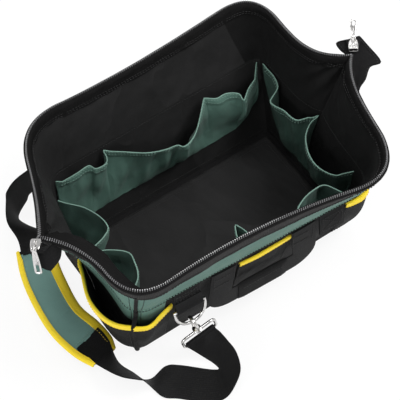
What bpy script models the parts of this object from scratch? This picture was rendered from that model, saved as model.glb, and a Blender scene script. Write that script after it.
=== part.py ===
"""A wide-mouthed tool bag, standing open with its shoulder strap on the floor.

The bag is sewn from flat panels. Its walls rise from a stiff rectangular base to a seam, and the bands
above the seam flare out to a zip rim. Each end of the rim runs out to a point under a zip slider.
X runs along the bag, -Y is its front, and the origin is on the floor under the middle of the base.
"""
import math

import bmesh
import bpy
from mathutils import Matrix, Vector
from mathutils.geometry import tessellate_polygon

# The base, the padded walls and the seam where the bands begin
BASE_LENGTH = 0.372
BASE_WIDTH = 0.201
BASE_ROUND = 0.018
BASE_THICK = 0.0030
BOARD_THICK = 0.0030
BOARD_MARGIN = 0.0075
WALL = 0.0050
SEAM_HEIGHT = 0.150
RIM_HEIGHT = 0.241
RIM_ROUND = 0.042
RIM_MORE_ROUND = 0.025
FRONT_SAG = 0.0214
BACK_SAG = 0.0122
BACK_SAG_SHARE = -0.616
RIM_DIP = 0.0096

# How far each corner of the rim leans out past its base corner, along X and Y
LEAN_FRONT_LEFT = (-0.020, -0.035)
LEAN_FRONT_RIGHT = (-0.005, -0.064)
LEAN_BACK_RIGHT = (0.0095, 0.058)
LEAN_BACK_LEFT = (0.002, 0.049)

# How much farther the bands above the seam flare at each corner, along X and Y
FLARE_FRONT_LEFT = (-0.0104, -0.0191)
FLARE_FRONT_RIGHT = (-0.0021, -0.0237)
FLARE_BACK_RIGHT = (0.0075, 0.0194)
FLARE_BACK_LEFT = (-0.0070, 0.0193)

# The points of the rim at the two ends, past the ends of the base
LEFT_REACH = 0.0640
RIGHT_REACH = 0.0550
RIGHT_POINT_BACK = 0.0045

# Clearances between sewn pieces, and between loose ones
SEAM_GAP = 0.0004
REST_GAP = 0.0003

# Zip
TAPE = 0.0012
TAPE_OUTER = 0.022
TAPE_INNER = 0.017
STAY_RADIUS = 0.0018
TOOTH_PITCH = 0.0068
TOOTH_LOW = 0.0012
TOOTH_HIGH = 0.0029
TOOTH_WIDTH = 0.0026
SLIDER_LENGTH = 0.016
SLIDER_WIDTH = 0.0125
SLIDER_PLATE = 0.0014
SLIDER_SPACE = 0.0048
SLIDER_POST = 0.0036
LUG_RADIUS = 0.0016
LUG_WIDTH = 0.0036
PULL_LENGTH = 0.038
PULL_WIDTH = 0.0095
PULL_THICK = 0.0014

# Pockets
POCKET_CLOTH = 0.0022
BINDING = 0.0012
BINDING_DEPTH = 0.0085
POCKET_FOOT = 0.0060
INNER_CLOTH = 0.0016

# Webbing, handles and the shoulder strap
TAB_WIDTH = 0.040
TAB_TOP_DROP = 0.0016
TAB_LENGTH = 0.031
TAB_THICK = 0.0022
TAB_PLACE_SHARE = 0.32258
PLAIN_TAB_PLACE_SHARE = 0.29301
TAB_LEAN_SHARE = 0.13
RING_LEAN_SHARE = 0.28
RING_WIRE = 0.0021
RING_WIDTH = 0.046
RING_DEPTH = 0.031
HANDLE_SPREAD = 0.126
HANDLE_WIDTH = 0.038
HANDLE_THICK = 0.0034
HANDLE_GRIP = 0.0095
HANDLE_DROP = 0.097
HANDLE_LIFT = 0.0027
STRAP = 0.0019
STRAP_WIDTH = 0.050
STRAP_NECK = 0.046
SEWN_END = 0.014
PAD_THICK = 0.0070
PAD_WIDEN_SHARE = 0.11
ADJUSTER_BAR = 0.0027
ADJUSTER_REACH = 0.0120

# Snap hook
HOOK_WIRE = 0.0027
HOOK_REACH = 0.0290
HOOK_SPAN = 0.0092
BARREL_RADIUS = 0.0062
BARREL_HEIGHT = 0.0056
POST_RADIUS = 0.0019
POST_HEAD = 0.0034
POST_HEAD_HEIGHT = 0.0016
EYE_DROP = 0.0215
EYE_WIRE = 0.0021
HOOK_PLAY = 0.0008
GATE_RADIUS = 0.0017

SIDE_STEPS = 10
ARC_STEPS = 4
HALF_STEPS = 7
WALL_STEPS = 4

SEAM_RISE = SEAM_HEIGHT / RIM_HEIGHT

# How the rim runs in from its point to each corner: power of the cusp, share of cusp, share of round
END_FORM_SHARES = {
    "left_front": (3.14, 0.84, 0.056),
    "left_back": (2.05, 0.654, 0.193),
    "right_front": (4.8, 0.666, 0.34),
    "right_back": (6.2, 1.0, 0.0),
}
ROUND_POWER = 4
POINT_POWER = 2.2

CORNERS = {
    "front_left": (-1, -1, LEAN_FRONT_LEFT, FLARE_FRONT_LEFT),
    "front_right": (1, -1, LEAN_FRONT_RIGHT, FLARE_FRONT_RIGHT),
    "back_right": (1, 1, LEAN_BACK_RIGHT, FLARE_BACK_RIGHT),
    "back_left": (-1, 1, LEAN_BACK_LEFT, FLARE_BACK_LEFT),
}

FINISHES = {
    "black_cloth": ((0.020, 0.020, 0.022), 0.85, 0.0),
    "green_cloth": ((0.100, 0.200, 0.165), 0.80, 0.0),
    "yellow_binding": ((0.930, 0.700, 0.040), 0.60, 0.0),
    "black_webbing": ((0.016, 0.016, 0.018), 0.75, 0.0),
    "zip_black": ((0.030, 0.030, 0.032), 0.40, 0.0),
    "nickel": ((0.720, 0.710, 0.690), 0.22, 1.0),
    "board": ((0.024, 0.024, 0.025), 0.70, 0.0),
}


def clear_scene():
    for old in list(bpy.data.objects):
        bpy.data.objects.remove(old, do_unlink=True)


def finish(name):
    """The Principled material of one finish."""
    made = bpy.data.materials.get(name)
    if made:
        return made
    colour, rough, metal = FINISHES[name]
    made = bpy.data.materials.new(name)
    made.use_nodes = True
    shader = made.node_tree.nodes["Principled BSDF"]
    shader.inputs["Base Color"].default_value = (*colour, 1.0)
    shader.inputs["Roughness"].default_value = rough
    shader.inputs["Metallic"].default_value = metal
    return made


def solid(name, points, faces, finish_name, smooth=40.0):
    """One closed mesh object, with its faces turned outward."""
    mesh = bpy.data.meshes.new(name)
    mesh.from_pydata([tuple(p) for p in points], [], faces)
    work = bmesh.new()
    work.from_mesh(mesh)
    bmesh.ops.recalc_face_normals(work, faces=work.faces)
    work.to_mesh(mesh)
    work.free()
    mesh.shade_smooth()
    mesh.set_sharp_from_angle(angle=math.radians(smooth))
    mesh.materials.append(finish(finish_name))
    made = bpy.data.objects.new(name, mesh)
    bpy.context.scene.collection.objects.link(made)
    return made


def loft(name, rings, finish_name, ring_round=False, sheet=False, filled=False):
    """Skin a run of rings. The run is capped, or closed on itself. A sheet's two sides split alike."""
    size = len(rings[0])
    points = [p for ring in rings for p in ring]
    spans = len(rings) if ring_round else len(rings) - 1
    faces = []
    for row in range(spans):
        near = row * size
        far = (row + 1) % len(rings) * size
        for k in range(size):
            after = (k + 1) % size
            if not sheet:
                faces.append((near + k, near + after, far + after, far + k))
            elif k < size // 2:
                faces.append((near + k, near + after, far + after))
                faces.append((near + k, far + after, far + k))
            else:
                faces.append((near + k, near + after, far + k))
                faces.append((near + after, far + after, far + k))
    if filled:
        for start, ring in ((0, rings[0]), (spans * size, rings[-1])):
            faces += [tuple(start + k for k in face) for face in tessellate_polygon([ring])]
    elif not ring_round and sheet:
        faces += sheet_ends(size, spans * size)
    elif not ring_round:
        faces.append(tuple(range(size))[::-1])
        last = spans * size
        faces.append(tuple(range(last, last + size)))
    return solid(name, points, faces, finish_name)


def sheet_ends(size, last):
    """The two ends of a sheet, split across its thickness, so that two sheets can meet closely."""
    faces = []
    for k in range(size // 2 - 1):
        other = size - 1 - k
        for start in (0, last):
            faces.append((start + k, start + k + 1, start + other - 1))
            faces.append((start + k, start + other - 1, start + other))
    return faces


def prism(name, outline, along, matrix, finish_name):
    """Extrude a flat outline, given in its own X and Y, by along in its own Z, both ways."""
    rings = []
    for side in (-1, 1):
        rings.append([matrix @ Vector((x, y, side * along / 2)) for x, y in outline])
    return loft(name, rings, finish_name)


def set_origin(made, place):
    """Put an object's origin on its joint, with the mesh left where it is."""
    shift = Vector(place)
    made.data.transform(Matrix.Translation(-shift))
    made.location = shift
    return made


def over_seam(rise):
    return max(0.0, (rise - SEAM_RISE) / (1 - SEAM_RISE))


def corner(name, rise):
    sign_x, sign_y, lean, flare = CORNERS[name]
    over = over_seam(rise)
    x = sign_x * BASE_LENGTH / 2 + lean[0] * rise + flare[0] * over
    y = sign_y * BASE_WIDTH / 2 + lean[1] * rise + flare[1] * over
    return Vector((x, y))


def end_middle(face, rise):
    return RIGHT_POINT_BACK * rise if face == "right" else 0.0


def end_reach(face, rise):
    reach = RIGHT_REACH if face == "right" else LEFT_REACH
    return reach * rise ** POINT_POWER


def face_point(face, along, rise, out=0.0):
    """A point on the outside of one face, or out from it. Along is X on the front and back, Y on the ends."""
    place = bare_point(face, along, rise)
    if out == 0.0:
        return place
    return place + face_normal(face, along, rise) * out


def face_normal(face, along, rise):
    reach = BASE_ROUND / 8
    ahead = bare_point(face, along + reach, rise)
    behind = bare_point(face, along - reach, rise)
    run = ahead - behind
    turned = Vector((run.y, -run.x, 0.0)).normalized()
    return turned if face in ("front", "right") else -turned


def bare_point(face, along, rise):
    dip = 0.0
    if face in ("front", "back"):
        left = corner(face + "_left", rise)
        right = corner(face + "_right", rise)
        share = (along - left.x) / (right.x - left.x)
        sag = 4 * share * (1 - share) * over_seam(rise)
        if face == "front":
            sag *= FRONT_SAG
        else:
            sag *= -BACK_SAG * (1 + BACK_SAG_SHARE * (share - 0.5))
        x = along
        y = left.y + (right.y - left.y) * share + sag
        if face == "front":
            dip = RIM_DIP * share ** 2
    else:
        front = corner("front_" + face, rise)
        back = corner("back_" + face, rise)
        middle = end_middle(face, rise)
        half = "front" if along < middle else "back"
        end = front if half == "front" else back
        far = min(1.0, abs(along - middle) / abs(end.y - middle))
        power, cusp, soft = END_FORM_SHARES[face + "_" + half]
        share = (along - front.y) / (back.y - front.y)
        outward = 1 if face == "right" else -1
        x = front.x + (back.x - front.x) * share
        x += outward * end_reach(face, rise) * (cusp * (1 - far) ** power + soft * (1 - far ** ROUND_POWER))
        y = along
        if face == "right" and half == "front":
            dip = RIM_DIP * far
    return Vector((x, y, RIM_HEIGHT * rise - dip * over_seam(rise)))


def corner_arc(first, last, turn):
    """The points inside a rounded corner, between a point on each face."""
    inside = []
    for k in range(1, ARC_STEPS):
        t = k / ARC_STEPS
        flat = first.xy * (1 - t) ** 2 + turn * 2 * t * (1 - t) + last.xy * t ** 2
        inside.append(Vector((flat.x, flat.y, first.z + (last.z - first.z) * t)))
    return inside


OUTLINES = {}


def outline(rise):
    """The whole outline at one height, as places and outward normals, going round from the front left."""
    key = round(rise, 6)
    if key in OUTLINES:
        return OUTLINES[key]
    cut = BASE_ROUND + (RIM_ROUND - BASE_ROUND) * rise + RIM_MORE_ROUND * over_seam(rise)
    runs = []
    for face, backward in (("front", False), ("right", False), ("back", True), ("left", True)):
        if face in ("front", "back"):
            low = corner(face + "_left", rise).x + cut
            high = corner(face + "_right", rise).x - cut
            stations = [low + (high - low) * k / SIDE_STEPS for k in range(SIDE_STEPS + 1)]
        else:
            middle = end_middle(face, rise)
            low = corner("front_" + face, rise).y + cut
            high = corner("back_" + face, rise).y - cut
            shares = [(1 - k / HALF_STEPS) ** 1.3 for k in range(HALF_STEPS + 1)]
            stations = [middle + (low - middle) * q for q in shares]
            stations += [middle + (high - middle) * q for q in reversed(shares[:-1])]
        run = [bare_point(face, s, rise) for s in stations]
        runs.append(run[::-1] if backward else run)
    front, right, back, left = runs
    places = []
    turns = ("front_right", "back_right", "back_left", "front_left")
    for here, after, turn in zip((front, right, back, left), (right, back, left, front), turns):
        places += here + corner_arc(here[-1], after[0], corner(turn, rise))
    normals = []
    count = len(places)
    for k in range(count):
        run = places[(k + 1) % count] - places[k - 1]
        normals.append(Vector((run.y, -run.x, 0.0)).normalized())
    OUTLINES[key] = (places, normals)
    return OUTLINES[key]


# Places round the outline where panels meet
FRONT_START = 0
FRONT_END = SIDE_STEPS
FRONT_RIGHT_SEAM = FRONT_END + ARC_STEPS // 2
RIGHT_START = FRONT_END + ARC_STEPS
RIGHT_END = RIGHT_START + 2 * HALF_STEPS
BACK_RIGHT_SEAM = RIGHT_END + ARC_STEPS // 2
BACK_START = RIGHT_END + ARC_STEPS
BACK_END = BACK_START + SIDE_STEPS
BACK_LEFT_SEAM = BACK_END + ARC_STEPS // 2
LEFT_START = BACK_END + ARC_STEPS
LEFT_END = LEFT_START + 2 * HALF_STEPS
FRONT_LEFT_SEAM = LEFT_END + ARC_STEPS // 2
OUTLINE_COUNT = LEFT_END + ARC_STEPS


def belt(name, first, last, section, finish_name, filled=False):
    """A panel that follows the outline from one place to another. The section is (rise, out) pairs."""
    rings = []
    for k in range(first, last + 1):
        toward = 0
        if k == first:
            toward = 1
        if k == last:
            toward = -1
        ring = []
        for rise, out in section:
            places, normals = outline(rise)
            here = places[k % OUTLINE_COUNT]
            point = here + normals[k % OUTLINE_COUNT] * out
            if toward:
                beside = places[(k + toward) % OUTLINE_COUNT]
                step = beside - here
                point += step.normalized() * SEAM_GAP / 2
            ring.append(point)
        rings.append(ring)
    return loft(name, rings, finish_name, sheet=True, filled=filled)


def wall_section(rises, inner=WALL):
    return [(r, 0.0) for r in rises] + [(r, -inner) for r in reversed(rises)]


def rise_at(height):
    return height / RIM_HEIGHT


def wall_rises():
    low = rise_at(BASE_THICK + REST_GAP)
    high = rise_at(SEAM_HEIGHT - SEAM_GAP / 2)
    return [low + (high - low) * k / WALL_STEPS for k in range(WALL_STEPS + 1)]


def skin(index, rise, out=0.0):
    """A point on a lower wall, or out from it, read between that wall's own rows."""
    rises = wall_rises()
    row = min(WALL_STEPS - 1, max(0, math.floor((rise - rises[0]) / (rises[1] - rises[0]))))
    share = (rise - rises[row]) / (rises[row + 1] - rises[row])
    return skin_at(index, rises[row], out).lerp(skin_at(index, rises[row + 1], out), share)


def skin_at(index, rise, out):
    places, normals = outline(rise)
    low = math.floor(index)
    share = index - low
    here = places[low % OUTLINE_COUNT].lerp(places[(low + 1) % OUTLINE_COUNT], share)
    way = normals[low % OUTLINE_COUNT].lerp(normals[(low + 1) % OUTLINE_COUNT], share)
    return here + way * out


FACE_SPANS = {
    "front": (FRONT_LEFT_SEAM - OUTLINE_COUNT, FRONT_RIGHT_SEAM, 0),
    "right": (FRONT_RIGHT_SEAM, BACK_RIGHT_SEAM, 1),
    "back": (BACK_RIGHT_SEAM, BACK_LEFT_SEAM, 0),
    "left": (BACK_LEFT_SEAM, FRONT_LEFT_SEAM, 1),
}


def stations(first, last):
    """Places between two indices that fall on every bend of the outline."""
    part = 2 if last - first > ARC_STEPS else 4
    whole = range(math.floor(first * part) + 1, math.ceil(last * part))
    return [first] + [k / part for k in whole if first + SEAM_GAP < k / part < last - SEAM_GAP] + [last]


def index_at(face, along):
    """Where a face has this X, on the front and back, or this Y, on the ends. It's read at the seam."""
    places, _ = outline(SEAM_RISE)
    first, last, axis = FACE_SPANS[face]
    for k in range(first, last):
        a = places[k % OUTLINE_COUNT][axis]
        b = places[(k + 1) % OUTLINE_COUNT][axis]
        if min(a, b) <= along <= max(a, b) and a != b:
            return k + (along - a) / (b - a)
    return first if abs(places[first % OUTLINE_COUNT][axis] - along) < abs(b - along) else last


def make_base():
    """The fabric bottom, and the stiff board that lies in the bag as its floor."""
    places, normals = outline(0.0)
    rings = []
    for z in (0.0, BASE_THICK):
        rings.append([Vector((p.x, p.y, z)) for p in places])
    loft("base_panel", rings, "black_cloth")
    bottom = BASE_THICK + REST_GAP
    rings = []
    for z in (bottom, bottom + BOARD_THICK):
        ring = [p - n * (WALL + BOARD_MARGIN) for p, n in zip(places, normals)]
        rings.append([Vector((p.x, p.y, z)) for p in ring])
    loft("base_board", rings, "board")


def make_walls():
    section = wall_section(wall_rises())
    front_left = FRONT_LEFT_SEAM - OUTLINE_COUNT
    belt("front_wall", front_left, FRONT_RIGHT_SEAM, section, "black_cloth")
    belt("right_end_wall", FRONT_RIGHT_SEAM, BACK_RIGHT_SEAM, section, "black_cloth")
    belt("back_wall", BACK_RIGHT_SEAM, BACK_LEFT_SEAM, section, "black_cloth")
    belt("left_end_wall", BACK_LEFT_SEAM, FRONT_LEFT_SEAM, section, "black_cloth")


def make_upper_walls():
    """The bands above the seam. The front and back ones fold inward, and the gussets crumple between."""
    low = rise_at(SEAM_HEIGHT + SEAM_GAP / 2)
    high = 1 - (TAPE + 2 * STAY_RADIUS + 3 * REST_GAP) / RIM_HEIGHT
    tape_foot = 1 - TAPE_OUTER / RIM_HEIGHT
    section = wall_section([low, (low + tape_foot) / 2, tape_foot, high])
    belt("front_upper_wall", FRONT_START, FRONT_END, section, "green_cloth")
    belt("back_upper_wall", BACK_START, BACK_END, section, "green_cloth")
    under = 1 - TAPE_OUTER / RIM_HEIGHT
    inside = 1 - TAPE_INNER / RIM_HEIGHT
    gusset = [(low, 0.0), ((low + under) / 2, 0.0), (under, 0.0), (under, TAPE), (1.0, TAPE)]
    gusset += [(1.0, -WALL - TAPE), (inside, -WALL - TAPE), (inside, -WALL)]
    gusset += [((low + inside) / 2, -WALL), (low, -WALL)]
    belt("right_gusset", FRONT_END, BACK_START, gusset, "green_cloth", filled=True)
    belt("left_gusset", BACK_END, OUTLINE_COUNT, gusset, "green_cloth", filled=True)


def make_zip_tapes():
    """The tape is folded over the rim, with the rim stay in its fold."""
    outer = 1 - TAPE_OUTER / RIM_HEIGHT
    inner = 1 - TAPE_INNER / RIM_HEIGHT
    under = 1 - TAPE / RIM_HEIGHT
    near = REST_GAP
    far = WALL + REST_GAP
    section = [(outer, near + TAPE), (1.0, near + TAPE), (1.0, -far - TAPE), (inner, -far - TAPE)]
    section += [(inner, -far), (under, -far), (under, near), (outer, near)]
    stay_rise = 1 - (TAPE + REST_GAP + STAY_RADIUS) / RIM_HEIGHT
    places, normals = outline(stay_rise)
    for side, first, last in (("front", FRONT_START, FRONT_END), ("back", BACK_START, BACK_END)):
        belt(side + "_zip_tape", first, last, section, "black_webbing")
        path = [places[k] - normals[k] * WALL / 2 for k in range(first, last + 1)]
        path[0] = path[0].lerp(path[1], TAPE / STAY_RADIUS / 8)
        path[-1] = path[-1].lerp(path[-2], TAPE / STAY_RADIUS / 8)
        tube(side + "_rim_stay", path, STAY_RADIUS, 6, "nickel")


def tube(name, path, radius, sides, finish_name, ring_round=False):
    """A round bar along a path. Its rings keep their turn from one to the next."""
    return loft(name, tube_rings(path, radius, sides, ring_round), finish_name, ring_round)


def tube_rings(path, radius, sides, ring_round=False):
    rings = []
    count = len(path)
    across = None
    for k in range(count):
        ahead = path[(k + 1) % count] if ring_round or k < count - 1 else path[k]
        behind = path[k - 1] if ring_round or k > 0 else path[k]
        run = (ahead - behind).normalized()
        if across is None:
            across = run.orthogonal().normalized()
        across = (across - run * across.dot(run)).normalized()
        other = run.cross(across)
        thick = radius[k] if isinstance(radius, list) else radius
        ring = []
        for j in range(sides):
            turn = 2 * math.pi * j / sides
            ring.append(path[k] + (across * math.cos(turn) + other * math.sin(turn)) * thick)
        rings.append(ring)
    return rings


def resample(path, step):
    """Even stations along a path, as near to the step as fits."""
    lengths = [0.0]
    for a, b in zip(path, path[1:]):
        lengths.append(lengths[-1] + (b - a).length)
    count = max(2, round(lengths[-1] / step))
    even = []
    span = 0
    for k in range(count + 1):
        want = lengths[-1] * k / count
        while span < len(path) - 2 and lengths[span + 1] < want:
            span += 1
        share = (want - lengths[span]) / (lengths[span + 1] - lengths[span])
        even.append(path[span].lerp(path[span + 1], min(1.0, max(0.0, share))))
    return even


def make_teeth():
    """Zip teeth stand along the top of the rim, as one moulded strip on each stretch."""
    places, normals = outline(1.0)
    stretches = (
        ("front_zip_teeth", FRONT_START, FRONT_END),
        ("right_zip_teeth", FRONT_END, BACK_START),
        ("back_zip_teeth", BACK_START, BACK_END),
        ("left_zip_teeth", BACK_END, OUTLINE_COUNT),
    )
    for name, first, last in stretches:
        path = []
        for k in range(first, last + 1):
            here = k % OUTLINE_COUNT
            path.append(places[here] - normals[here] * TOOTH_WIDTH / 2)
        even = resample(path, TOOTH_PITCH / 2)
        even[0] = even[0].lerp(even[1], SEAM_GAP / TOOTH_PITCH)
        even[-1] = even[-1].lerp(even[-2], SEAM_GAP / TOOTH_PITCH)
        rings = []
        for k, place in enumerate(even):
            run = even[min(k + 1, len(even) - 1)] - even[max(k - 1, 0)]
            aside = Vector((run.y, -run.x, 0.0)).normalized()
            top = TOOTH_HIGH if k % 2 else TOOTH_LOW
            width = TOOTH_WIDTH if k % 2 else TOOTH_WIDTH * 0.6
            ring = []
            for side, height in ((-1, REST_GAP), (1, REST_GAP), (1, top), (-1, top)):
                ring.append(place + aside * side * width / 2 + Vector((0, 0, height)))
            rings.append(ring)
        loft(name, rings, "zip_black")


class Frame:
    """A right-handed set of axes at a place."""

    def __init__(self, place, first, second):
        self.place = Vector(place)
        self.x = Vector(first).normalized()
        self.z = self.x.cross(Vector(second)).normalized()
        self.y = self.z.cross(self.x)
        self.matrix = Matrix.Translation(self.place) @ Matrix((self.x, self.y, self.z)).transposed().to_4x4()

    def at(self, x, y, z):
        return self.matrix @ Vector((x, y, z))


# Each slider's way out along the zip, the way across it, and its pull's way, as shares of one
SLIDER_WAY_SHARES = {
    "left": ((-0.62, -0.785, 0.0), (-0.776, 0.613, -0.15), (0.40, -0.917)),
    "right": ((0.62, 0.785, 0.0), (0.776, -0.613, 0.15), (0.99, -0.12)),
}


def slider_frame(side):
    """X runs out along the zip, Y up through the slider, Z across it."""
    way, across, _ = SLIDER_WAY_SHARES[side]
    tip = bare_point(side, end_middle(side, 1.0), 1.0)
    out = Vector(way)
    start = tip + out * (SLIDER_LENGTH / 2 + REST_GAP * 15) + Vector((0, 0, TOOTH_LOW))
    return Frame(start, out, Vector(across).cross(out))


def lug_centre():
    return SLIDER_LENGTH / 2 + LUG_RADIUS * 0.5, SLIDER_SPACE / 2 + SLIDER_PLATE + LUG_RADIUS * 0.9


def make_sliders():
    """Two plates joined by a post, with a lug over the nose for the pull."""
    for side in ("left", "right"):
        frame = slider_frame(side)
        half = SLIDER_LENGTH / 2
        inner = SLIDER_SPACE / 2
        outer = inner + SLIDER_PLATE
        nose = SLIDER_PLATE
        post = -half + SLIDER_POST
        profile = [(-half, -outer + nose), (-half + nose, -outer), (half - nose, -outer), (half, -inner)]
        profile += [(post, -inner), (post, inner), (half, inner), (half - nose / 2, outer)]
        profile += [(-half + nose, outer), (-half, outer - nose)]
        body = prism(side + "_slider", profile, SLIDER_WIDTH, frame.matrix, "nickel")
        taper_slider(body, frame)
        lug_x, lug_y = lug_centre()
        root = outer - nose / 2
        lug = [(half - LUG_RADIUS * 3, root), (half - nose, root)]
        for k in range(7):
            turn = math.radians(-50 + 200 * k / 6)
            lug.append((lug_x + LUG_RADIUS * math.cos(turn), lug_y + LUG_RADIUS * math.sin(turn)))
        cut(body, prism(side + "_lug", lug, LUG_WIDTH, frame.matrix, "nickel"), "UNION")
        set_origin(body, frame.place)


def taper_slider(body, frame):
    """The plates narrow toward the nose."""
    back = frame.matrix.inverted()
    half = SLIDER_LENGTH / 2
    for vertex in body.data.vertices:
        local = back @ vertex.co
        if local.x > 0:
            local.z *= 1 - 0.22 * local.x / half
        vertex.co = frame.matrix @ local
    body.data.update()


def pull_pivot(side):
    x, y = lug_centre()
    return slider_frame(side).at(x, y, 0.0)


def make_pulls():
    """A flat tab held at the lug by two ears, with a long hole near its end."""
    for side in ("left", "right"):
        frame = slider_frame(side)
        out, rise = SLIDER_WAY_SHARES[side][2]
        pivot = pull_pivot(side)
        way = frame.x * out + frame.y * rise
        pull = Frame(pivot, way, frame.z)
        gap = LUG_WIDTH / 2 + REST_GAP
        reach = LUG_RADIUS + REST_GAP * 3
        wide = PULL_WIDTH / 2
        ear = wide * 0.8
        outer = [(-PULL_THICK, ear), (reach, ear), (reach * 1.8, wide), (PULL_LENGTH - wide, wide)]
        for k in range(1, 6):
            turn = math.pi / 2 - math.pi * k / 6
            outer.append((PULL_LENGTH - wide + wide * math.cos(turn), wide * math.sin(turn)))
        outer += [(PULL_LENGTH - wide, -wide), (reach * 1.8, -wide), (reach, -ear), (-PULL_THICK, -ear)]
        outer += [(-PULL_THICK, -gap), (reach, -gap), (reach, gap), (-PULL_THICK, gap)]
        made = prism(side + "_pull", outer, PULL_THICK, pull.matrix, "nickel")
        hole = long_hole(PULL_LENGTH - wide * 2.6, PULL_LENGTH - wide * 1.05, wide * 0.45)
        cut(made, prism(side + "_pull_hole", hole, PULL_THICK * 4, pull.matrix, "nickel"))
        set_origin(made, pivot)


def long_hole(first, last, radius):
    points = []
    for centre, start in ((last, -90), (first, 90)):
        for k in range(5):
            turn = math.radians(start + 45 * k)
            points.append((centre + radius * math.cos(turn), radius * math.sin(turn)))
    return points


def cut(made, cutter, operation="DIFFERENCE"):
    modifier = made.modifiers.new(operation.lower(), "BOOLEAN")
    modifier.operation = operation
    modifier.solver = "EXACT"
    modifier.object = cutter
    cutter.hide_render = True
    cutter.display_type = "WIRE"


# Rows down each tail of tape: its two edges as shares of the slider's length out, up and across, and
# half its thickness. It is thick where its teeth are joined inside the slider.
TAIL_SHARES = {
    "left": (((-0.20, 0.0, -0.46), (-0.20, 0.0, 0.46), 0.131), ((0.46, 0.0, -0.54), (0.46, 0.0, 0.54), 0.131),
             ((0.53, 0.0, -0.64), (0.53, 0.0, 0.56), 0.038), ((0.58, -0.12, -0.82), (0.60, -0.08, 0.40), 0.038),
             ((0.56, -0.38, -1.10), (0.68, -0.30, 0.15), 0.038), ((0.52, -0.85, -1.40), (0.80, -0.74, -0.05), 0.038),
             ((0.72, -1.45, -1.46), (0.92, -1.24, -0.12), 0.038), ((0.98, -2.10, -0.95), (1.00, -1.65, -0.15), 0.038)),
    "right": (((-0.20, 0.0, -0.46), (-0.20, 0.0, 0.46), 0.131), ((0.46, 0.0, -0.60), (0.46, 0.0, 0.60), 0.131),
              ((0.54, 0.0, -0.72), (0.54, 0.0, 0.68), 0.038), ((0.95, 0.02, -0.60), (0.72, -0.08, 0.80), 0.038),
              ((1.20, 0.05, -0.20), (0.60, -0.30, 1.10), 0.038), ((1.00, -0.15, 0.60), (0.05, -0.65, 1.05), 0.038),
              ((0.30, -0.75, 1.50), (-0.45, -1.15, 0.90), 0.038), ((-0.25, -1.45, 1.75), (-0.80, -1.75, 0.75), 0.038),
              ((-0.75, -2.10, 1.20), (-1.15, -2.30, 0.60), 0.038)),
}


def make_tails():
    """Past each slider the closed zip ends in a loose tail of tape."""
    for side in ("left", "right"):
        frame = slider_frame(side)
        rows = []
        thick = []
        for first, second, deep in TAIL_SHARES[side]:
            edges = [frame.at(*(share * SLIDER_LENGTH for share in edge)) for edge in (first, second)]
            rows.append(edges)
            thick.append(deep * 2 * SLIDER_LENGTH)
        ribbon(side + "_zip_tail", rows, thick, "black_webbing")


# Outer pockets: each one's face, height and how far it gapes, and where it starts and ends as shares of
# the base's length on the front and back, and of its width on the ends
FRONT_POCKET_TOP = 0.128
END_POCKET_TOP = 0.126
SIDE_GAPE = 0.013
CENTRE_GAPE = 0.0042
END_GAPE = 0.020
POCKET_STAND = 0.0005
OUTER_POCKETS = (
    ("front_left_pocket", "front", FRONT_POCKET_TOP, SIDE_GAPE),
    ("front_centre_pocket", "front", FRONT_POCKET_TOP, CENTRE_GAPE),
    ("front_right_pocket", "front", FRONT_POCKET_TOP, SIDE_GAPE),
    ("right_end_pocket", "right", END_POCKET_TOP, END_GAPE),
    ("back_pocket", "back", FRONT_POCKET_TOP, CENTRE_GAPE),
    ("left_end_pocket", "left", END_POCKET_TOP, END_GAPE),
)
OUTER_POCKET_SHARES = {
    "front_left_pocket": (-0.51075, -0.37634),
    "front_centre_pocket": (-0.10887, 0.10887),
    "front_right_pocket": (0.37634, 0.48387),
    "right_end_pocket": (0.04975, 0.60697),
    "back_pocket": (0.10887, -0.10887),
    "left_end_pocket": (0.01990, -0.55721),
}


def face_length(face):
    """What the shares along a face are of."""
    return BASE_LENGTH if face in ("front", "back") else BASE_WIDTH


def make_outer_pocket(name, face, top, gape):
    """A patch sewn on at its sides and foot, open at the top, and the binding round its open edge."""
    first, last = (index_at(face, share * face_length(face)) for share in OUTER_POCKET_SHARES[name])
    patch = []
    edge = []
    for index in stations(first, last):
        share = (index - first) / (last - first)
        swell = math.sin(math.pi * share) ** 0.7 if 0 < share < 1 else 0.0

        def spot(height, extra):
            lift = POCKET_STAND + gape * swell * (0.15 + 0.85 * (height / top) ** 1.5)
            return skin(index, rise_at(height), lift + extra)

        heights = [POCKET_FOOT, top * 0.4, top * 0.7, top - BINDING_DEPTH, top]
        ring = [spot(h, POCKET_CLOTH) for h in heights]
        ring += [spot(h, 0.0) for h in reversed(heights)]
        patch.append(ring)
        low = top - BINDING_DEPTH
        over = top + REST_GAP
        above = over + BINDING
        near = POCKET_CLOTH + REST_GAP
        ring = [spot(low, near + BINDING), spot(above, near + BINDING), spot(above, 0.0), spot(over, 0.0)]
        ring += [spot(over, near), spot(low, near)]
        edge.append(ring)
    loft(name, patch, "black_cloth", sheet=True)
    loft(name + "_binding", edge, "yellow_binding", sheet=True)


def make_outer_pockets():
    for row in OUTER_POCKETS:
        make_outer_pocket(*row)


# Inner pockets: the places where each is stitched down, as shares like those above, and how deep the
# bays between them hang open
INNER_TOP = 0.143
INNER_FOOT = 0.0085
INNER_SAG = 0.020
INNER_SEAM_SHARES = {
    "back": (0.41935, 0.34409, 0.22581, -0.20968, -0.26882, -0.40323),
    "front": (-0.43011, -0.25538, -0.12903, 0.08065, 0.22849, 0.39247),
    "left": (0.43781, -0.00995, -0.38806),
    "right": (-0.44776, 0.02985, 0.46766),
}
INNER_DEPTHS = {
    "back": (0.012, 0.015, 0.042, 0.011, 0.017),
    "front": (0.016, 0.012, 0.034, 0.014, 0.026),
    "left": (0.036, 0.034),
    "right": (0.040, 0.036),
}


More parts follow.
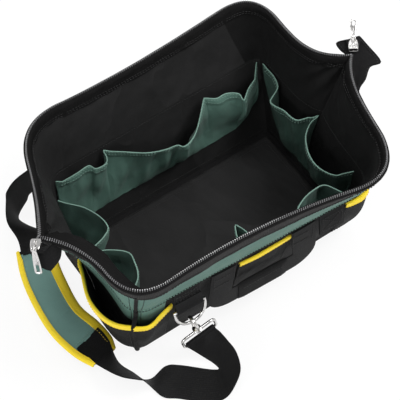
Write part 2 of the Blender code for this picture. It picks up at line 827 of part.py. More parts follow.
def make_inner_pocket(face):
    """A gathered strip, stitched to the lining between its bays, which hang open at the top."""
    rings = []
    seams = [index_at(face, share * face_length(face)) for share in INNER_SEAM_SHARES[face]]
    for number, deep in enumerate(INNER_DEPTHS[face]):
        first, last = seams[number:number + 2]
        for index in stations(first, last)[1 if number else 0:]:
            share = (index - first) / (last - first)
            belly = math.sin(math.pi * share) ** 1.3 if 0 < share < 1 else 0.0
            top = INNER_TOP - INNER_SAG * belly
            heights = [INNER_FOOT] + [RIM_HEIGHT * rise for rise in wall_rises()[1:-1]] + [top]
            ring = []
            for extra, order in ((0.0, heights), (INNER_CLOTH, heights[::-1])):
                for height in order:
                    part = (height - INNER_FOOT) / (top - INNER_FOOT)
                    inward = WALL + POCKET_STAND + deep * belly * part ** 0.8 + extra
                    ring.append(skin(index, rise_at(height), -inward))
            rings.append(ring)
    loft(face + "_inner_pocket", rings, "green_cloth", sheet=True)


def make_inner_pockets():
    for face in INNER_DEPTHS:
        make_inner_pocket(face)


def side_sign(face):
    """The back is the front turned half round, so its places run the other way."""
    return 1 if face == "front" else -1


def tab_frame(face, place):
    """Axes at the top of a webbing tab: X along the wall, Y down the tab, Z out."""
    along = place * side_sign(face)
    top = face_point(face, along, rise_at(SEAM_HEIGHT - TAB_TOP_DROP))
    out = face_normal(face, along, SEAM_RISE)
    down = Vector((0, 0, -1)) + out * TAB_LEAN_SHARE
    return Frame(top + out * REST_GAP, down.cross(out), down)


def ring_way(face):
    """Which way a D-ring hangs from its bar."""
    return (Vector((0, 0, -1)) + face_normal(face, 0.0, SEAM_RISE) * RING_LEAN_SHARE).normalized()


def ring_centre(face):
    """The middle of the straight bar of a D-ring, which the fold of its tab holds."""
    frame = tab_frame(face, -BASE_LENGTH * TAB_PLACE_SHARE)
    return frame.place + frame.y * TAB_LENGTH + frame.z * (TAB_THICK + RING_WIRE + REST_GAP)


def make_tabs():
    """Each ring tab is a flat strip with a fold at its foot, and each plain tab is a doubled strip."""
    hold = RING_WIRE + REST_GAP
    for face in ("front", "back"):
        frame = tab_frame(face, -BASE_LENGTH * TAB_PLACE_SHARE)
        section = [(0.0, 0.0), (TAB_LENGTH, 0.0)]
        centre_out = TAB_THICK + hold
        outer = hold + TAB_THICK * 0.7
        for k in range(1, 9):
            turn = math.radians(-90 + 240 * k / 8)
            section.append((TAB_LENGTH + outer * math.cos(turn), centre_out + outer * math.sin(turn)))
        for k in range(8, 0, -1):
            turn = math.radians(-90 + 240 * k / 8)
            section.append((TAB_LENGTH + hold * math.cos(turn), centre_out + hold * math.sin(turn)))
        section += [(TAB_LENGTH, TAB_THICK), (0.0, TAB_THICK)]
        rings = []
        for half in (-TAB_WIDTH / 2, TAB_WIDTH / 2):
            rings.append([frame.place + frame.x * half + frame.y * d + frame.z * o for d, o in section])
        loft(face + "_ring_tab", rings, "black_webbing")
        frame = tab_frame(face, BASE_LENGTH * PLAIN_TAB_PLACE_SHARE)
        rings = []
        for half in (-TAB_WIDTH / 2, TAB_WIDTH / 2):
            ring = []
            for drop, out in ((0.0, 0.0), (TAB_LENGTH * 1.25, 0.0), (TAB_LENGTH * 1.25, TAB_THICK),
                              (TAB_LENGTH, TAB_THICK * 1.6), (0.0, TAB_THICK)):
                ring.append(frame.place + frame.x * half + frame.y * drop + frame.z * out)
            rings.append(ring)
        loft(face + "_plain_tab", rings, "black_webbing")


def make_rings():
    """A D-ring hangs by its straight bar in the fold of its tab."""
    for face in ("front", "back"):
        centre = ring_centre(face)
        frame = tab_frame(face, -BASE_LENGTH * TAB_PLACE_SHARE)
        half = RING_WIDTH / 2
        path = []
        for k in range(4):
            path.append(centre + frame.x * (-half + RING_WIDTH * k / 3))
        for k in range(1, 12):
            turn = math.pi * k / 12
            wide = half + RING_WIRE * math.sin(turn) * 0.4
            path.append(centre + frame.x * wide * math.cos(turn) + ring_way(face) * RING_DEPTH * round_end(turn))
        ring = tube(face + "_d_ring", path, RING_WIRE, 6, "nickel", ring_round=True)
        set_origin(ring, centre)


def round_end(turn):
    return math.sin(turn) ** 0.8


def hook_frame(face):
    """Axes of a snap hook: Z up its post, X along its eye, Y out from the bag. Z = 0 is the barrel's top."""
    sign = side_sign(face)
    centre = ring_centre(face)
    bottom = centre + ring_way(face) * RING_DEPTH
    lean_x, lean_y, up_z = HOOK_UP_SHARES
    up = Vector((lean_x * sign, lean_y * sign, up_z)).normalized()
    seat = RING_WIRE + HOOK_WIRE + HOOK_PLAY
    base = bottom - up * (HOOK_REACH - seat)
    across = Vector((-sign, 0.0, lean_x))
    out = up.cross(across).normalized()
    return Frame(base, out.cross(up), out)


# The way a hook's post points, and the path of its wire, as shares of its span and its reach
HOOK_UP_SHARES = (-0.20, 0.05, 0.98)
HOOK_PATH_SHARES = ((-0.62, -0.10), (-0.80, 0.10), (-0.98, 0.30), (-1.0, 0.55), (-0.80, 0.82), (-0.42, 0.97),
                    (0.0, 1.0), (0.45, 0.96), (0.82, 0.82), (1.0, 0.66))


def make_hooks():
    for face in ("front", "back"):
        frame = hook_frame(face)
        path = [frame.at(0.0, y * HOOK_SPAN, z * HOOK_REACH) for y, z in HOOK_PATH_SHARES]
        body = tube(face + "_hook_body", path, HOOK_WIRE, 8, "nickel")
        cut(body, turned(face + "_hook_barrel", frame, BARREL_RADIUS, -BARREL_HEIGHT, 0.0, 12), "UNION")
        reach = BARREL_HEIGHT * 2
        bore = POST_RADIUS + REST_GAP
        cut(body, turned(face + "_hook_bore", frame, bore, -reach, reach, 10))
        set_origin(body, frame.place)
        make_gate(face, frame)
        make_eye(face, frame)


def turned(name, frame, radius, low, high, sides):
    rings = []
    for z in (low, high):
        ring = []
        for k in range(sides):
            turn = 2 * math.pi * k / sides
            ring.append(frame.at(radius * math.cos(turn), radius * math.sin(turn), z))
        rings.append(ring)
    return loft(name, rings, "nickel")


def gate_pivot(frame):
    return frame.at(0.0, BARREL_RADIUS * 0.80, HOOK_REACH * 0.10)


def make_gate(face, frame):
    """The sprung gate closes the mouth of the hook, between its barrel and its nose."""
    tip_y, tip_z = HOOK_PATH_SHARES[-1]
    start = gate_pivot(frame)
    nose = frame.at(0.0, tip_y * HOOK_SPAN, tip_z * HOOK_REACH - REST_GAP * 5)
    path = [start.lerp(nose, k / 3) for k in range(4)]
    gate = tube(face + "_hook_gate", path, GATE_RADIUS, 6, "nickel")
    set_origin(gate, start)


def make_eye(face, frame):
    """The post turns in the barrel, and its wide eye holds the end of the strap."""
    top = -BARREL_HEIGHT - REST_GAP - EYE_WIRE
    low = top - EYE_DROP
    soft = EYE_WIRE * 1.6
    half = STRAP_NECK / 2 + soft + REST_GAP
    corners = [(-half, top - soft), (-half, low + soft), (-half + soft, low), (half - soft, low)]
    corners += [(half, low + soft), (half, top - soft), (half - soft, top), (-half + soft, top)]
    path = []
    for (x1, z1), (x2, z2) in zip(corners, corners[1:] + corners[:1]):
        path.append(frame.at(x1, 0.0, z1))
        if abs(x2 - x1) > half:
            path.append(frame.at((x1 + x2) / 2, 0.0, (z1 + z2) / 2))
    eye = tube(face + "_hook_eye", path, EYE_WIRE, 6, "nickel", ring_round=True)
    post = turned_profile(face + "_hook_post", frame, ((POST_RADIUS, top), (POST_RADIUS, REST_GAP),
                                                       (POST_HEAD, REST_GAP), (POST_HEAD, REST_GAP + POST_HEAD_HEIGHT)))
    cut(eye, post, "UNION")
    set_origin(eye, frame.place)


def turned_profile(name, frame, profile):
    rings = []
    sides = 10
    for radius, z in profile:
        ring = []
        for k in range(sides):
            turn = 2 * math.pi * k / sides
            ring.append(frame.at(radius * math.cos(turn), radius * math.sin(turn), z))
        rings.append(ring)
    return loft(name, rings, "nickel")


def eye_bar(face):
    """The two ends of the stretch of the eye's low bar that the strap wraps, and the way up and out."""
    frame = hook_frame(face)
    low = -BARREL_HEIGHT - REST_GAP - EYE_WIRE - EYE_DROP
    return frame.at(STRAP_NECK / 2, 0.0, low), frame.at(-STRAP_NECK / 2, 0.0, low), frame


def make_handles():
    """A webbing loop, doubled and padded along its grip, which hangs down from the seam."""
    for face in ("front", "back"):
        sign = side_sign(face)
        centre = handle_pivot(face)
        normal = face_normal(face, 0.0, SEAM_RISE)
        along = Vector((-normal.y, normal.x, 0.0))
        half = HANDLE_SPREAD / 2
        low = HANDLE_DROP - HANDLE_WIDTH / 2
        bend = HANDLE_WIDTH * 0.62
        route = [(-half, 0.0), (-half, low * 0.35), (-half, low - bend)]
        for k in range(1, 5):
            turn = math.pi / 2 * k / 4
            route.append((-half + bend - bend * math.cos(turn), low - bend + bend * math.sin(turn)))
        route += [(-half * 0.45, low), (0.0, low)]
        route += [(-x, d) for x, d in reversed(route[:-1])]
        rings = []
        for k, (x, drop) in enumerate(route):
            x2, drop2 = route[min(k + 1, len(route) - 1)]
            x1, drop1 = route[max(k - 1, 0)]
            run = Vector((x2 - x1, drop2 - drop1)).normalized()
            grip = min(1.0, max(0.0, (half * 0.8 - abs(x)) / (half * 0.3)))
            thick = HANDLE_THICK + (HANDLE_GRIP - HANDLE_THICK) * grip
            ring = []
            for wide, deep in ((-0.5, -0.25), (-0.42, -0.5), (0.42, -0.5), (0.5, -0.25),
                               (0.5, 0.25), (0.42, 0.5), (-0.42, 0.5), (-0.5, 0.25)):
                side = x - run.y * wide * HANDLE_WIDTH
                down = drop + run.x * wide * HANDLE_WIDTH
                ring.append(centre + along * side - Vector((0, 0, down)) + normal * deep * thick)
            rings.append(ring)
        set_origin(loft(face + "_handle", rings, "black_webbing"), centre)


def handle_pivot(face):
    top = face_point(face, 0.0, rise_at(SEAM_HEIGHT - TAB_TOP_DROP * 2))
    return top + face_normal(face, 0.0, SEAM_RISE) * HANDLE_LIFT


# The strap's two edges from the front hook round to the back one. Each is shares of half the base's
# length, half its width, and the strap's width.
STRAP_SHARES = (
    ((-0.6667, -1.5423, 0.360), (-0.4624, -1.5721, 0.840)),
    ((-0.6183, -1.6517, 0.140), (-0.4624, -1.7313, 0.880)),
    ((-0.5914, -1.7512, 0.080), (-0.4624, -1.9303, 0.860)),
    ((-0.5806, -1.8408, 0.060), (-0.5054, -2.1493, 0.800)),
    ((-0.5860, -1.8607, 0.060), (-0.5806, -2.2587, 0.600)),
    ((-0.6022, -1.8507, 0.060), (-0.6882, -2.2985, 0.240)),
    ((-0.6559, -1.7711, 0.060), (-0.8065, -2.1791, 0.060)),
    ((-0.8065, -1.5124, 0.080), (-0.9570, -1.9204, 0.060)),
    ((-0.9140, -1.4726, 0.360), (-1.0484, -1.7711, 0.060)),
    ((-1.0914, -1.6219, 0.880), (-1.0806, -1.4925, 0.050)),
    ((-1.1935, -1.4826, 0.840), (-1.1129, -1.2637, 0.050)),
    ((-1.2688, -1.2935, 0.760), (-1.1613, -0.9950, 0.060)),
    ((-1.3333, -0.9154, 0.460), (-1.1290, -0.6169, 0.120)),
    ((-1.4000, -0.6000, 0.440), (-1.1450, -0.3000, 0.125)),
    ((-1.4400, -0.1400, 0.400), (-1.1850, 0.0600, 0.120)),
    ((-1.4100, 0.4400, 0.260), (-1.1500, 0.5200, 0.105)),
    ((-1.3500, 0.9200, 0.140), (-1.0950, 0.9100, 0.095)),
    ((-1.2500, 1.3800, 0.180), (-1.0000, 1.1800, 0.160)),
    ((-1.2688, 1.5622, 0.900), (-1.1075, 1.6020, 0.060)),
    ((-1.1828, 1.8507, 1.000), (-1.1237, 1.7910, 0.040)),
    ((-1.1290, 1.9801, 1.010), (-0.9946, 1.9602, 0.040)),
    ((-0.9839, 2.0896, 1.020), (-0.9140, 2.0498, 0.040)),
    ((-0.6452, 2.1095, 1.120), (-0.6344, 2.0597, 0.120)),
    ((-0.4300, 2.1095, 1.160), (-0.4300, 2.0650, 0.160)),
    ((-0.1075, 2.1095, 1.140), (-0.1183, 2.0499, 0.140)),
    ((0.1075, 2.1294, 0.960), (0.0753, 1.9701, 0.070)),
    ((0.2796, 2.1493, 0.760), (0.2151, 1.8706, 0.060)),
    ((0.4516, 2.0896, 0.280), (0.3226, 1.7711, 0.060)),
    ((0.6022, 1.9502, 0.160), (0.3763, 1.7711, 0.060)),
    ((0.6774, 1.6915, 0.260), (0.4301, 1.6119, 0.140)),
)
FRONT_RUN_END = 5
FLOOR_RUN_END = 12
PAD_END = 17
REAR_RUN_END = 27
ADJUSTER_SPAN = 23
SPAN_STEPS = 3
ADJUSTER_STEPS = 14


def strap_rows():
    """Smooth rows along the strap, and the row at which each given one falls."""
    rows = []
    for pair in STRAP_SHARES:
        rows.append(tuple(Vector((x * BASE_LENGTH / 2, y * BASE_WIDTH / 2, z * STRAP_WIDTH)) for x, y, z in pair))
    fine = []
    marks = []
    for k in range(len(rows) - 1):
        marks.append(len(fine))
        before = rows[max(k - 1, 0)]
        after = rows[min(k + 2, len(rows) - 1)]
        steps = ADJUSTER_STEPS if k == ADJUSTER_SPAN else SPAN_STEPS
        for step in range(steps):
            t = step / steps
            fine.append(tuple(blend_point(before[e], rows[k][e], rows[k + 1][e], after[e], t) for e in (0, 1)))
    marks.append(len(fine))
    fine.append(rows[-1])
    return fine, marks


def blend_point(a, b, c, d, t):
    return (b * 2 + (c - a) * t + (a * 2 - b * 5 + c * 4 - d) * t * t
            + (b * 3 - a - c * 3 + d) * t * t * t) * 0.5


def row_normal(rows, k):
    ahead = rows[min(k + 1, len(rows) - 1)]
    behind = rows[max(k - 1, 0)]
    run = (ahead[0] + ahead[1] - behind[0] - behind[1]).normalized()
    across = (rows[k][1] - rows[k][0]).normalized()
    return run.cross(across).normalized()


def ribbon(name, rows, thick, finish_name, crown=0.0):
    """A strip between two edges, with its faces half its thickness off the middle."""
    rings = []
    for k, (a, b) in enumerate(rows):
        deep = thick[k] if isinstance(thick, list) else thick
        up = row_normal(rows, k) * deep / 2
        if crown:
            up = -up if up.z < 0 else up
            middle = (a + b) / 2
            rings.append([a - up, middle - up, b - up, b + up, middle + up * (1 + crown), a + up])
        else:
            rings.append([a - up, b - up, b + up, a + up])
    return loft(name, rings, finish_name, sheet=True)


def piece_rows(rows, first, last):
    """The rows of one piece, with its ends drawn in to leave a seam's gap to the next."""
    part = [rows[k] for k in range(first, last + 1)]
    for end, beside in ((0, 1), (-1, -2)):
        step = ((part[beside][0] + part[beside][1]) - (part[end][0] + part[end][1])).normalized()
        part[end] = tuple(p + step * SEAM_GAP / 2 for p in part[end])
    return part


def wrap_rows(face):
    """The strap's sewn end stands inside the eye's low bar, and the strap goes over the bar and out."""
    first, second, frame = eye_bar(face)
    radius = EYE_WIRE + REST_GAP + STRAP / 2
    rows = [tuple(p - frame.y * radius - frame.z * SEWN_END for p in (first, second))]
    for k in range(7):
        turn = math.pi * k / 6
        offset = frame.z * radius * math.sin(turn) - frame.y * radius * math.cos(turn)
        rows.append((first + offset, second + offset))
    return rows


def weave(rows, first, last):
    """At the adjuster the strap goes outside its end bars and inside its middle one."""
    shifted = list(rows)
    swing = ADJUSTER_BAR / 2 + STRAP / 2 + REST_GAP * 6
    centre = rows[(first + last) // 2][0]
    for k in range(first - 1, last + 2):
        away = (rows[k][0] - centre).length / ADJUSTER_REACH
        if away > 2:
            continue
        wave = -math.cos(math.pi * away) if away < 1 else 0.5 * (1 - math.cos(math.pi * away))
        normal = row_normal(rows, k)
        shifted[k] = tuple(p + normal * swing * wave for p in rows[k])
    return shifted


def make_strap():
    rows, marks = strap_rows()
    near = marks[ADJUSTER_SPAN]
    far = marks[ADJUSTER_SPAN + 1]
    make_adjuster(rows, near, far)
    rows = weave(rows, near, far)
    front = wrap_rows("front") + rows[:marks[FRONT_RUN_END] + 1]
    front[-1] = piece_rows(rows, 0, marks[FRONT_RUN_END])[-1]
    ribbon("strap_front_run", front, STRAP, "black_webbing")
    floor = piece_rows(rows, marks[FRONT_RUN_END], marks[FLOOR_RUN_END])
    ribbon("strap_floor_run", floor, STRAP, "black_webbing")
    pad = []
    for a, b in piece_rows(rows, marks[FLOOR_RUN_END], marks[PAD_END]):
        widen = (b - a) * PAD_WIDEN_SHARE
        pad.append((a - widen, b + widen))
    ribbon("shoulder_pad", pad, PAD_THICK, "green_cloth", crown=0.3)
    ribbon("strap_rear_run", piece_rows(rows, marks[PAD_END], marks[REAR_RUN_END]), STRAP, "black_webbing")
    back = piece_rows(rows, marks[REAR_RUN_END], len(rows) - 1)
    back[-1] = rows[-1]
    back += list(reversed(wrap_rows("back")))
    ribbon("strap_back_run", back, STRAP, "black_webbing")


def make_adjuster(rows, first, last):
    """A flat slide of three bars that takes up the strap's spare length."""
    middle = (first + last) // 2
    a, b = rows[middle]
    way = rows[middle + 3][0] + rows[middle + 3][1] - rows[middle - 3][0] - rows[middle - 3][1]
    frame = Frame((a + b) / 2, way, a - b)
    tall = (a - b).length / 2 + ADJUSTER_BAR * 1.6
    wide = ADJUSTER_REACH + ADJUSTER_BAR / 2
    outer = [(-wide, -tall), (wide, -tall), (wide, tall), (-wide, tall)]
    base = prism("strap_adjuster", outer, ADJUSTER_BAR, frame.matrix, "nickel")
    inner_tall = tall - ADJUSTER_BAR
    for side in (-1, 1):
        low = min(side * ADJUSTER_BAR / 2, side * (wide - ADJUSTER_BAR))
        high = max(side * ADJUSTER_BAR / 2, side * (wide - ADJUSTER_BAR))
        window = [(low, -inner_tall), (high, -inner_tall), (high, inner_tall), (low, inner_tall)]
        cut(base, prism("adjuster_window", window, ADJUSTER_BAR * 3, frame.matrix, "nickel"))


def main():
    clear_scene()
    make_base()
    make_walls()
    make_upper_walls()
    make_zip_tapes()
    make_teeth()
    make_sliders()
    make_pulls()
    make_tails()
    make_outer_pockets()
    make_inner_pockets()
    make_tabs()
    make_rings()
    make_hooks()
    make_handles()
    make_strap()


main()
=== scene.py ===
import math
from functools import lru_cache, partial

import bpy
import numpy as np
from mathutils import Matrix, Vector, noise


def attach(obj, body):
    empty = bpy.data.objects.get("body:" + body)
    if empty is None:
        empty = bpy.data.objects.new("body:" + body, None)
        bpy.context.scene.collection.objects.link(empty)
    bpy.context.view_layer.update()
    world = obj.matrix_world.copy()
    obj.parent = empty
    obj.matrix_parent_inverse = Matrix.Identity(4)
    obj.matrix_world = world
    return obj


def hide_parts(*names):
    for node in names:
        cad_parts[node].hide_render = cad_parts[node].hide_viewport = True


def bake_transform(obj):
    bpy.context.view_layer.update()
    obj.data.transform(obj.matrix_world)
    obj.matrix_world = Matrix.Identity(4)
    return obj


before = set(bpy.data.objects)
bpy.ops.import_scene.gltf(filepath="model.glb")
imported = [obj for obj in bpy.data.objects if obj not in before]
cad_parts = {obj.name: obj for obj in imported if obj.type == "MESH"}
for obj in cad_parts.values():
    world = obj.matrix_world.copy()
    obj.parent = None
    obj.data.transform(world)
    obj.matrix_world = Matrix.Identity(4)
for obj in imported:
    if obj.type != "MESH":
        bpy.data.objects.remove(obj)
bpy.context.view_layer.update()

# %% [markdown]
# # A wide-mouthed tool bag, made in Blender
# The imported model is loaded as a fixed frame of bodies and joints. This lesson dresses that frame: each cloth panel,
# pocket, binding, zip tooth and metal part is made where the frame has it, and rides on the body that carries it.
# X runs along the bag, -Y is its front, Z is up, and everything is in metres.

# %% [markdown]
# ## Camera
# The photograph looks down into the open bag from its front left, 58 degrees above the floor, through a long lens.
# Its place was worked out from the corners of the rim and base, so it is written as a place and two directions.

# %% Camera
LENS = 126.09
CAMERA_PLACE = Vector((-0.5979, -0.8503, 1.7515))
FORWARD = Vector((0.30204, 0.43725, -0.84711)).normalized()
UPWARD = Vector((0.48216, 0.69650, 0.53142))
camera_data = bpy.data.cameras.new("camera")
camera_data.sensor_width = 36.0
camera_data.lens = LENS
camera = bpy.data.objects.new("camera", camera_data)
bpy.context.scene.collection.objects.link(camera)
rightward = FORWARD.cross(UPWARD).normalized()
turn = Matrix((rightward, rightward.cross(FORWARD), -FORWARD)).transposed()
camera.matrix_world = Matrix.Translation(CAMERA_PLACE) @ turn.to_4x4()
bpy.context.scene.camera = camera
print("camera looks along", [round(x, 3) for x in FORWARD])

# %% [markdown]
# ## Node trees
# The world, the floor and every finish are node trees, so a few short functions for them come first.


# %% Helpers for node trees
def maths(made, work, *values):
    """One Math node, fed by sockets or numbers."""
    step = made.nodes.new("ShaderNodeMath")
    step.operation = work
    for socket, value in zip(step.inputs, values):
        if isinstance(value, (int, float)):
            socket.default_value = value
        else:
            made.links.new(value, socket)
    return step.outputs[0]


def clouds(made, vector, scale, detail=3.0, rough=0.5):
    """A noise texture's value."""
    step = made.nodes.new("ShaderNodeTexNoise")
    step.inputs["Detail"].default_value = detail
    step.inputs["Roughness"].default_value = rough
    made.links.new(vector, step.inputs["Vector"])
    if isinstance(scale, (int, float)):
        step.inputs["Scale"].default_value = scale
    else:
        made.links.new(scale, step.inputs["Scale"])
    return step.outputs["Fac"]


def bump(tree, height, distance, strength, normal=None):
    """A Bump node on a height, over another normal if there is one."""
    made = tree.nodes.new("ShaderNodeBump")
    made.inputs["Distance"].default_value = distance
    made.inputs["Strength"].default_value = strength
    tree.links.new(height, made.inputs["Height"])
    if normal:
        tree.links.new(normal, made.inputs["Normal"])
    return made.outputs["Normal"]


def seen_bright(tree, plain, bright, other_ray, share, output):
    """The camera and one other kind of ray see the bright shader by a share. All others see the plain one."""
    rays = tree.nodes.new("ShaderNodeLightPath").outputs
    mask = maths(tree, "MAXIMUM", rays["Is Camera Ray"], rays[other_ray])
    if share < 1.0:
        mask = maths(tree, "MULTIPLY", mask, share)
    choose = tree.nodes.new("ShaderNodeMixShader")
    for socket, source in zip(choose.inputs, (mask, plain.outputs[0], bright.outputs[0])):
        tree.links.new(source, socket)
    tree.links.new(choose.outputs[0], tree.nodes.new(output).inputs["Surface"])


# %% [markdown]
# ## Light and floor
# The photograph is a product shot in an even white room. A white world gives the level, and four soft lamps give the
# cloth its shading. The floor takes a soft shadow, and the camera sees it almost white.

# %% World
WHITE = (1.0, 1.0, 1.0, 1.0)
ROOM_STRENGTH = 0.55
bpy.context.scene.view_settings.view_transform = "Standard"
world = bpy.data.worlds.new("white_room")
bpy.context.scene.world = world
world.use_nodes = True
sky = world.node_tree
sky.nodes.clear()
room = sky.nodes.new("ShaderNodeBackground")
room.inputs["Color"].default_value = WHITE
room.inputs["Strength"].default_value = ROOM_STRENGTH
backdrop = sky.nodes.new("ShaderNodeBackground")
backdrop.inputs["Color"].default_value = WHITE
seen_bright(sky, room, backdrop, "Is Transmission Ray", 1.0, "ShaderNodeOutputWorld")


# %% Lamps
def soft_lamp(name, place, target, size, watts):
    """A square area lamp that faces a target."""
    data = bpy.data.lights.new(name, "AREA")
    data.shape = "SQUARE"
    data.size = size
    data.energy = watts
    made = bpy.data.objects.new(name, data)
    made.location = place
    way = Vector(target) - Vector(place)
    made.rotation_euler = way.to_track_quat("-Z", "Y").to_euler()
    bpy.context.scene.collection.objects.link(made)


soft_lamp("key_lamp", (1.00, -0.70, 2.0), (0, 0, 0.1), 0.8, 30.0)
soft_lamp("low_lamp", (-1.75, -0.75, 1.00), (-0.2, -0.15, 0.05), 0.7, 10.0)
soft_lamp("top_lamp", (-0.45, -0.35, 2.4), (0, 0, 0.1), 0.8, 12.0)
soft_lamp("back_lamp", (0.62, 1.50, 1.40), (0, 0, 0.1), 0.6, 8.0)

# %% Floor
FLOOR_GLOW = 0.88
bpy.ops.mesh.primitive_grid_add(x_subdivisions=4, y_subdivisions=4, size=12.0, location=(0, 0, -0.0004))
floor = bpy.context.object
floor.name = "floor"
floor_look = bpy.data.materials.new("floor_white")
floor_look.use_nodes = True
tree = floor_look.node_tree
tree.nodes.clear()
plain = tree.nodes.new("ShaderNodeBsdfDiffuse")
plain.inputs["Color"].default_value = (0.93, 0.93, 0.93, 1.0)
bright = tree.nodes.new("ShaderNodeEmission")
bright.inputs["Color"].default_value = WHITE
seen_bright(tree, plain, bright, "Is Glossy Ray", FLOOR_GLOW, "ShaderNodeOutputMaterial")
floor.data.materials.append(floor_look)
print("floor and lamps are in place")

# %% [markdown]
# ## Shared effects
# Cloth, webbing and metal share a few effects: a plain weave, moulded or woven ribs, patches of lighter and darker
# yarn, soft creases and dust. Each is a node group with named sockets, made once and placed in each material with
# values of its own. All but the metal read the UV map, which holds metres along and across the cloth, so a thread
# has its real size whatever the shape of the piece.


# %% A new group
def new_group(name, values, gives):
    """A node group from a vector and some numbers. Returned with its sockets and a maker of its Math nodes."""
    made = bpy.data.node_groups.new(name, "ShaderNodeTree")
    made.interface.new_socket("Vector", in_out="INPUT", socket_type="NodeSocketVector")
    for label, value in values.items():
        made.interface.new_socket(label, in_out="INPUT", socket_type="NodeSocketFloat").default_value = value
    for label in gives:
        made.interface.new_socket(label, in_out="OUTPUT", socket_type="NodeSocketFloat")
    inputs, outputs = made.nodes.new("NodeGroupInput"), made.nodes.new("NodeGroupOutput")
    return made, inputs.outputs, outputs.inputs, partial(maths, made)


def x_and_y(made, vector):
    parts = made.nodes.new("ShaderNodeSeparateXYZ")
    made.links.new(vector, parts.inputs[0])
    return parts.outputs[0], parts.outputs[1]


# %% Plain weave
weave_group, takes, gives, work = new_group("plain_weave", {"Threads": 1500.0, "Slubs": 0.3}, ["Tone", "Height"])
turns = work("MULTIPLY", takes["Threads"], math.pi)
warp, weft = (work("SINE", work("MULTIPLY", way, turns)) for way in x_and_y(weave_group, takes["Vector"]))
over = work("MULTIPLY_ADD", work("MULTIPLY", warp, weft), 0.5, 0.5)
slub = clouds(weave_group, takes["Vector"], 420.0, 2.0)
slub = work("MULTIPLY", work("SUBTRACT", slub, 0.5), takes["Slubs"])
weave_group.links.new(work("ADD", over, slub), gives["Tone"])
weave_group.links.new(work("ADD", over, work("MULTIPLY", slub, 0.5)), gives["Height"])

# %% Ribs of webbing and tape
ribs_group, takes, gives, work = new_group("ribs", {"Pitch": 0.0018, "Cross pitch": 0.0011}, ["Tone", "Height"])
along, across = x_and_y(ribs_group, takes["Vector"])
wave = work("DIVIDE", across, takes["Pitch"])
rib = work("ABSOLUTE", work("SINE", work("MULTIPLY", wave, math.pi)))
shifted = work("ADD", work("DIVIDE", along, takes["Cross pitch"]), work("MULTIPLY", work("FLOOR", wave), 0.5))
pick = work("ABSOLUTE", work("SINE", work("MULTIPLY", shifted, math.pi)))
threaded = work("MULTIPLY", work("POWER", rib, 0.6), work("MULTIPLY_ADD", pick, 0.35, 0.65))
fuzz = clouds(ribs_group, takes["Vector"], 900.0, 2.0)
ribs_group.links.new(work("MULTIPLY", threaded, work("ADD", fuzz, 0.5)), gives["Tone"])
ribs_group.links.new(threaded, gives["Height"])

# %% Soft creases
crease_group, takes, gives, work = new_group("soft_creases", {"Scale": 22.0, "Stretch": 0.4}, ["Height"])
along, across = x_and_y(crease_group, takes["Vector"])
slide = crease_group.nodes.new("ShaderNodeCombineXYZ")
crease_group.links.new(along, slide.inputs[0])
crease_group.links.new(work("MULTIPLY", across, takes["Stretch"]), slide.inputs[1])
folds = clouds(crease_group, slide.outputs[0], takes["Scale"], 3.0, 0.45)
ridge = work("SUBTRACT", 1.0, work("ABSOLUTE", work("MULTIPLY_ADD", folds, 2.0, -1.0)))
crease_group.links.new(work("POWER", ridge, 3.0), gives["Height"])

# %% Patches and dust
patch_group, takes, gives, work = new_group("patches", {"Scale": 18.0}, ["Mask"])
patchy = clouds(patch_group, takes["Vector"], takes["Scale"], 5.0, 0.6)
spread_out = work("MULTIPLY_ADD", patchy, 2.2, -0.6)
patch_group.links.new(work("MINIMUM", work("MAXIMUM", spread_out, 0.0), 1.0), gives["Mask"])

dust_group, takes, gives, work = new_group("dust", {"Scale": 700.0, "Amount": 0.3}, ["Mask"])
sharp = work("POWER", clouds(dust_group, takes["Vector"], takes["Scale"], 1.0), 7.0)
veil = clouds(dust_group, takes["Vector"], 9.0, 3.0)
dusty = work("MULTIPLY", work("MULTIPLY", sharp, 6.0), veil)
dust_group.links.new(work("MULTIPLY", dusty, takes["Amount"]), gives["Mask"])
print("shared groups:", ", ".join(g.name for g in bpy.data.node_groups))

# %% [markdown]
# ## Cloth materials
# The bag is sewn from coated polyester in black and teal green, a thin black lining, a green pocket cloth, black
# webbing and tape, and yellow grosgrain binding. All are one recipe: a fine structure gives colour and bump, large
# patches shift the tone, and a little sheen lifts the edges as fibres do.


# %% A recipe for cloth
def place_group(tree, group, vector, **values):
    """Put a shared group in a material, with its own values."""
    made = tree.nodes.new("ShaderNodeGroup")
    made.node_tree = group
    tree.links.new(vector, made.inputs["Vector"])
    for label, value in values.items():
        made.inputs[label.replace("_", " ")].default_value = value
    return made.outputs


def mixed(tree, fac, first, second):
    """A colour between two, by a mask."""
    made = tree.nodes.new("ShaderNodeMix")
    made.data_type = "RGBA"
    tree.links.new(fac, made.inputs["Factor"])
    for socket, value in ((made.inputs[6], first), (made.inputs[7], second)):
        if isinstance(value, tuple):
            socket.default_value = (*value, 1.0)
        else:
            tree.links.new(value, socket)
    return made.outputs[2]


def new_look(name, coordinates):
    """A material with nodes: itself, its tree, its shader's inputs and its coordinates."""
    look = bpy.data.materials.new(name)
    look.use_nodes = True
    tree = look.node_tree
    where = tree.nodes.new("ShaderNodeTexCoord").outputs[coordinates]
    return look, tree, tree.nodes["Principled BSDF"].inputs, where


DUST = (0.34, 0.33, 0.31)


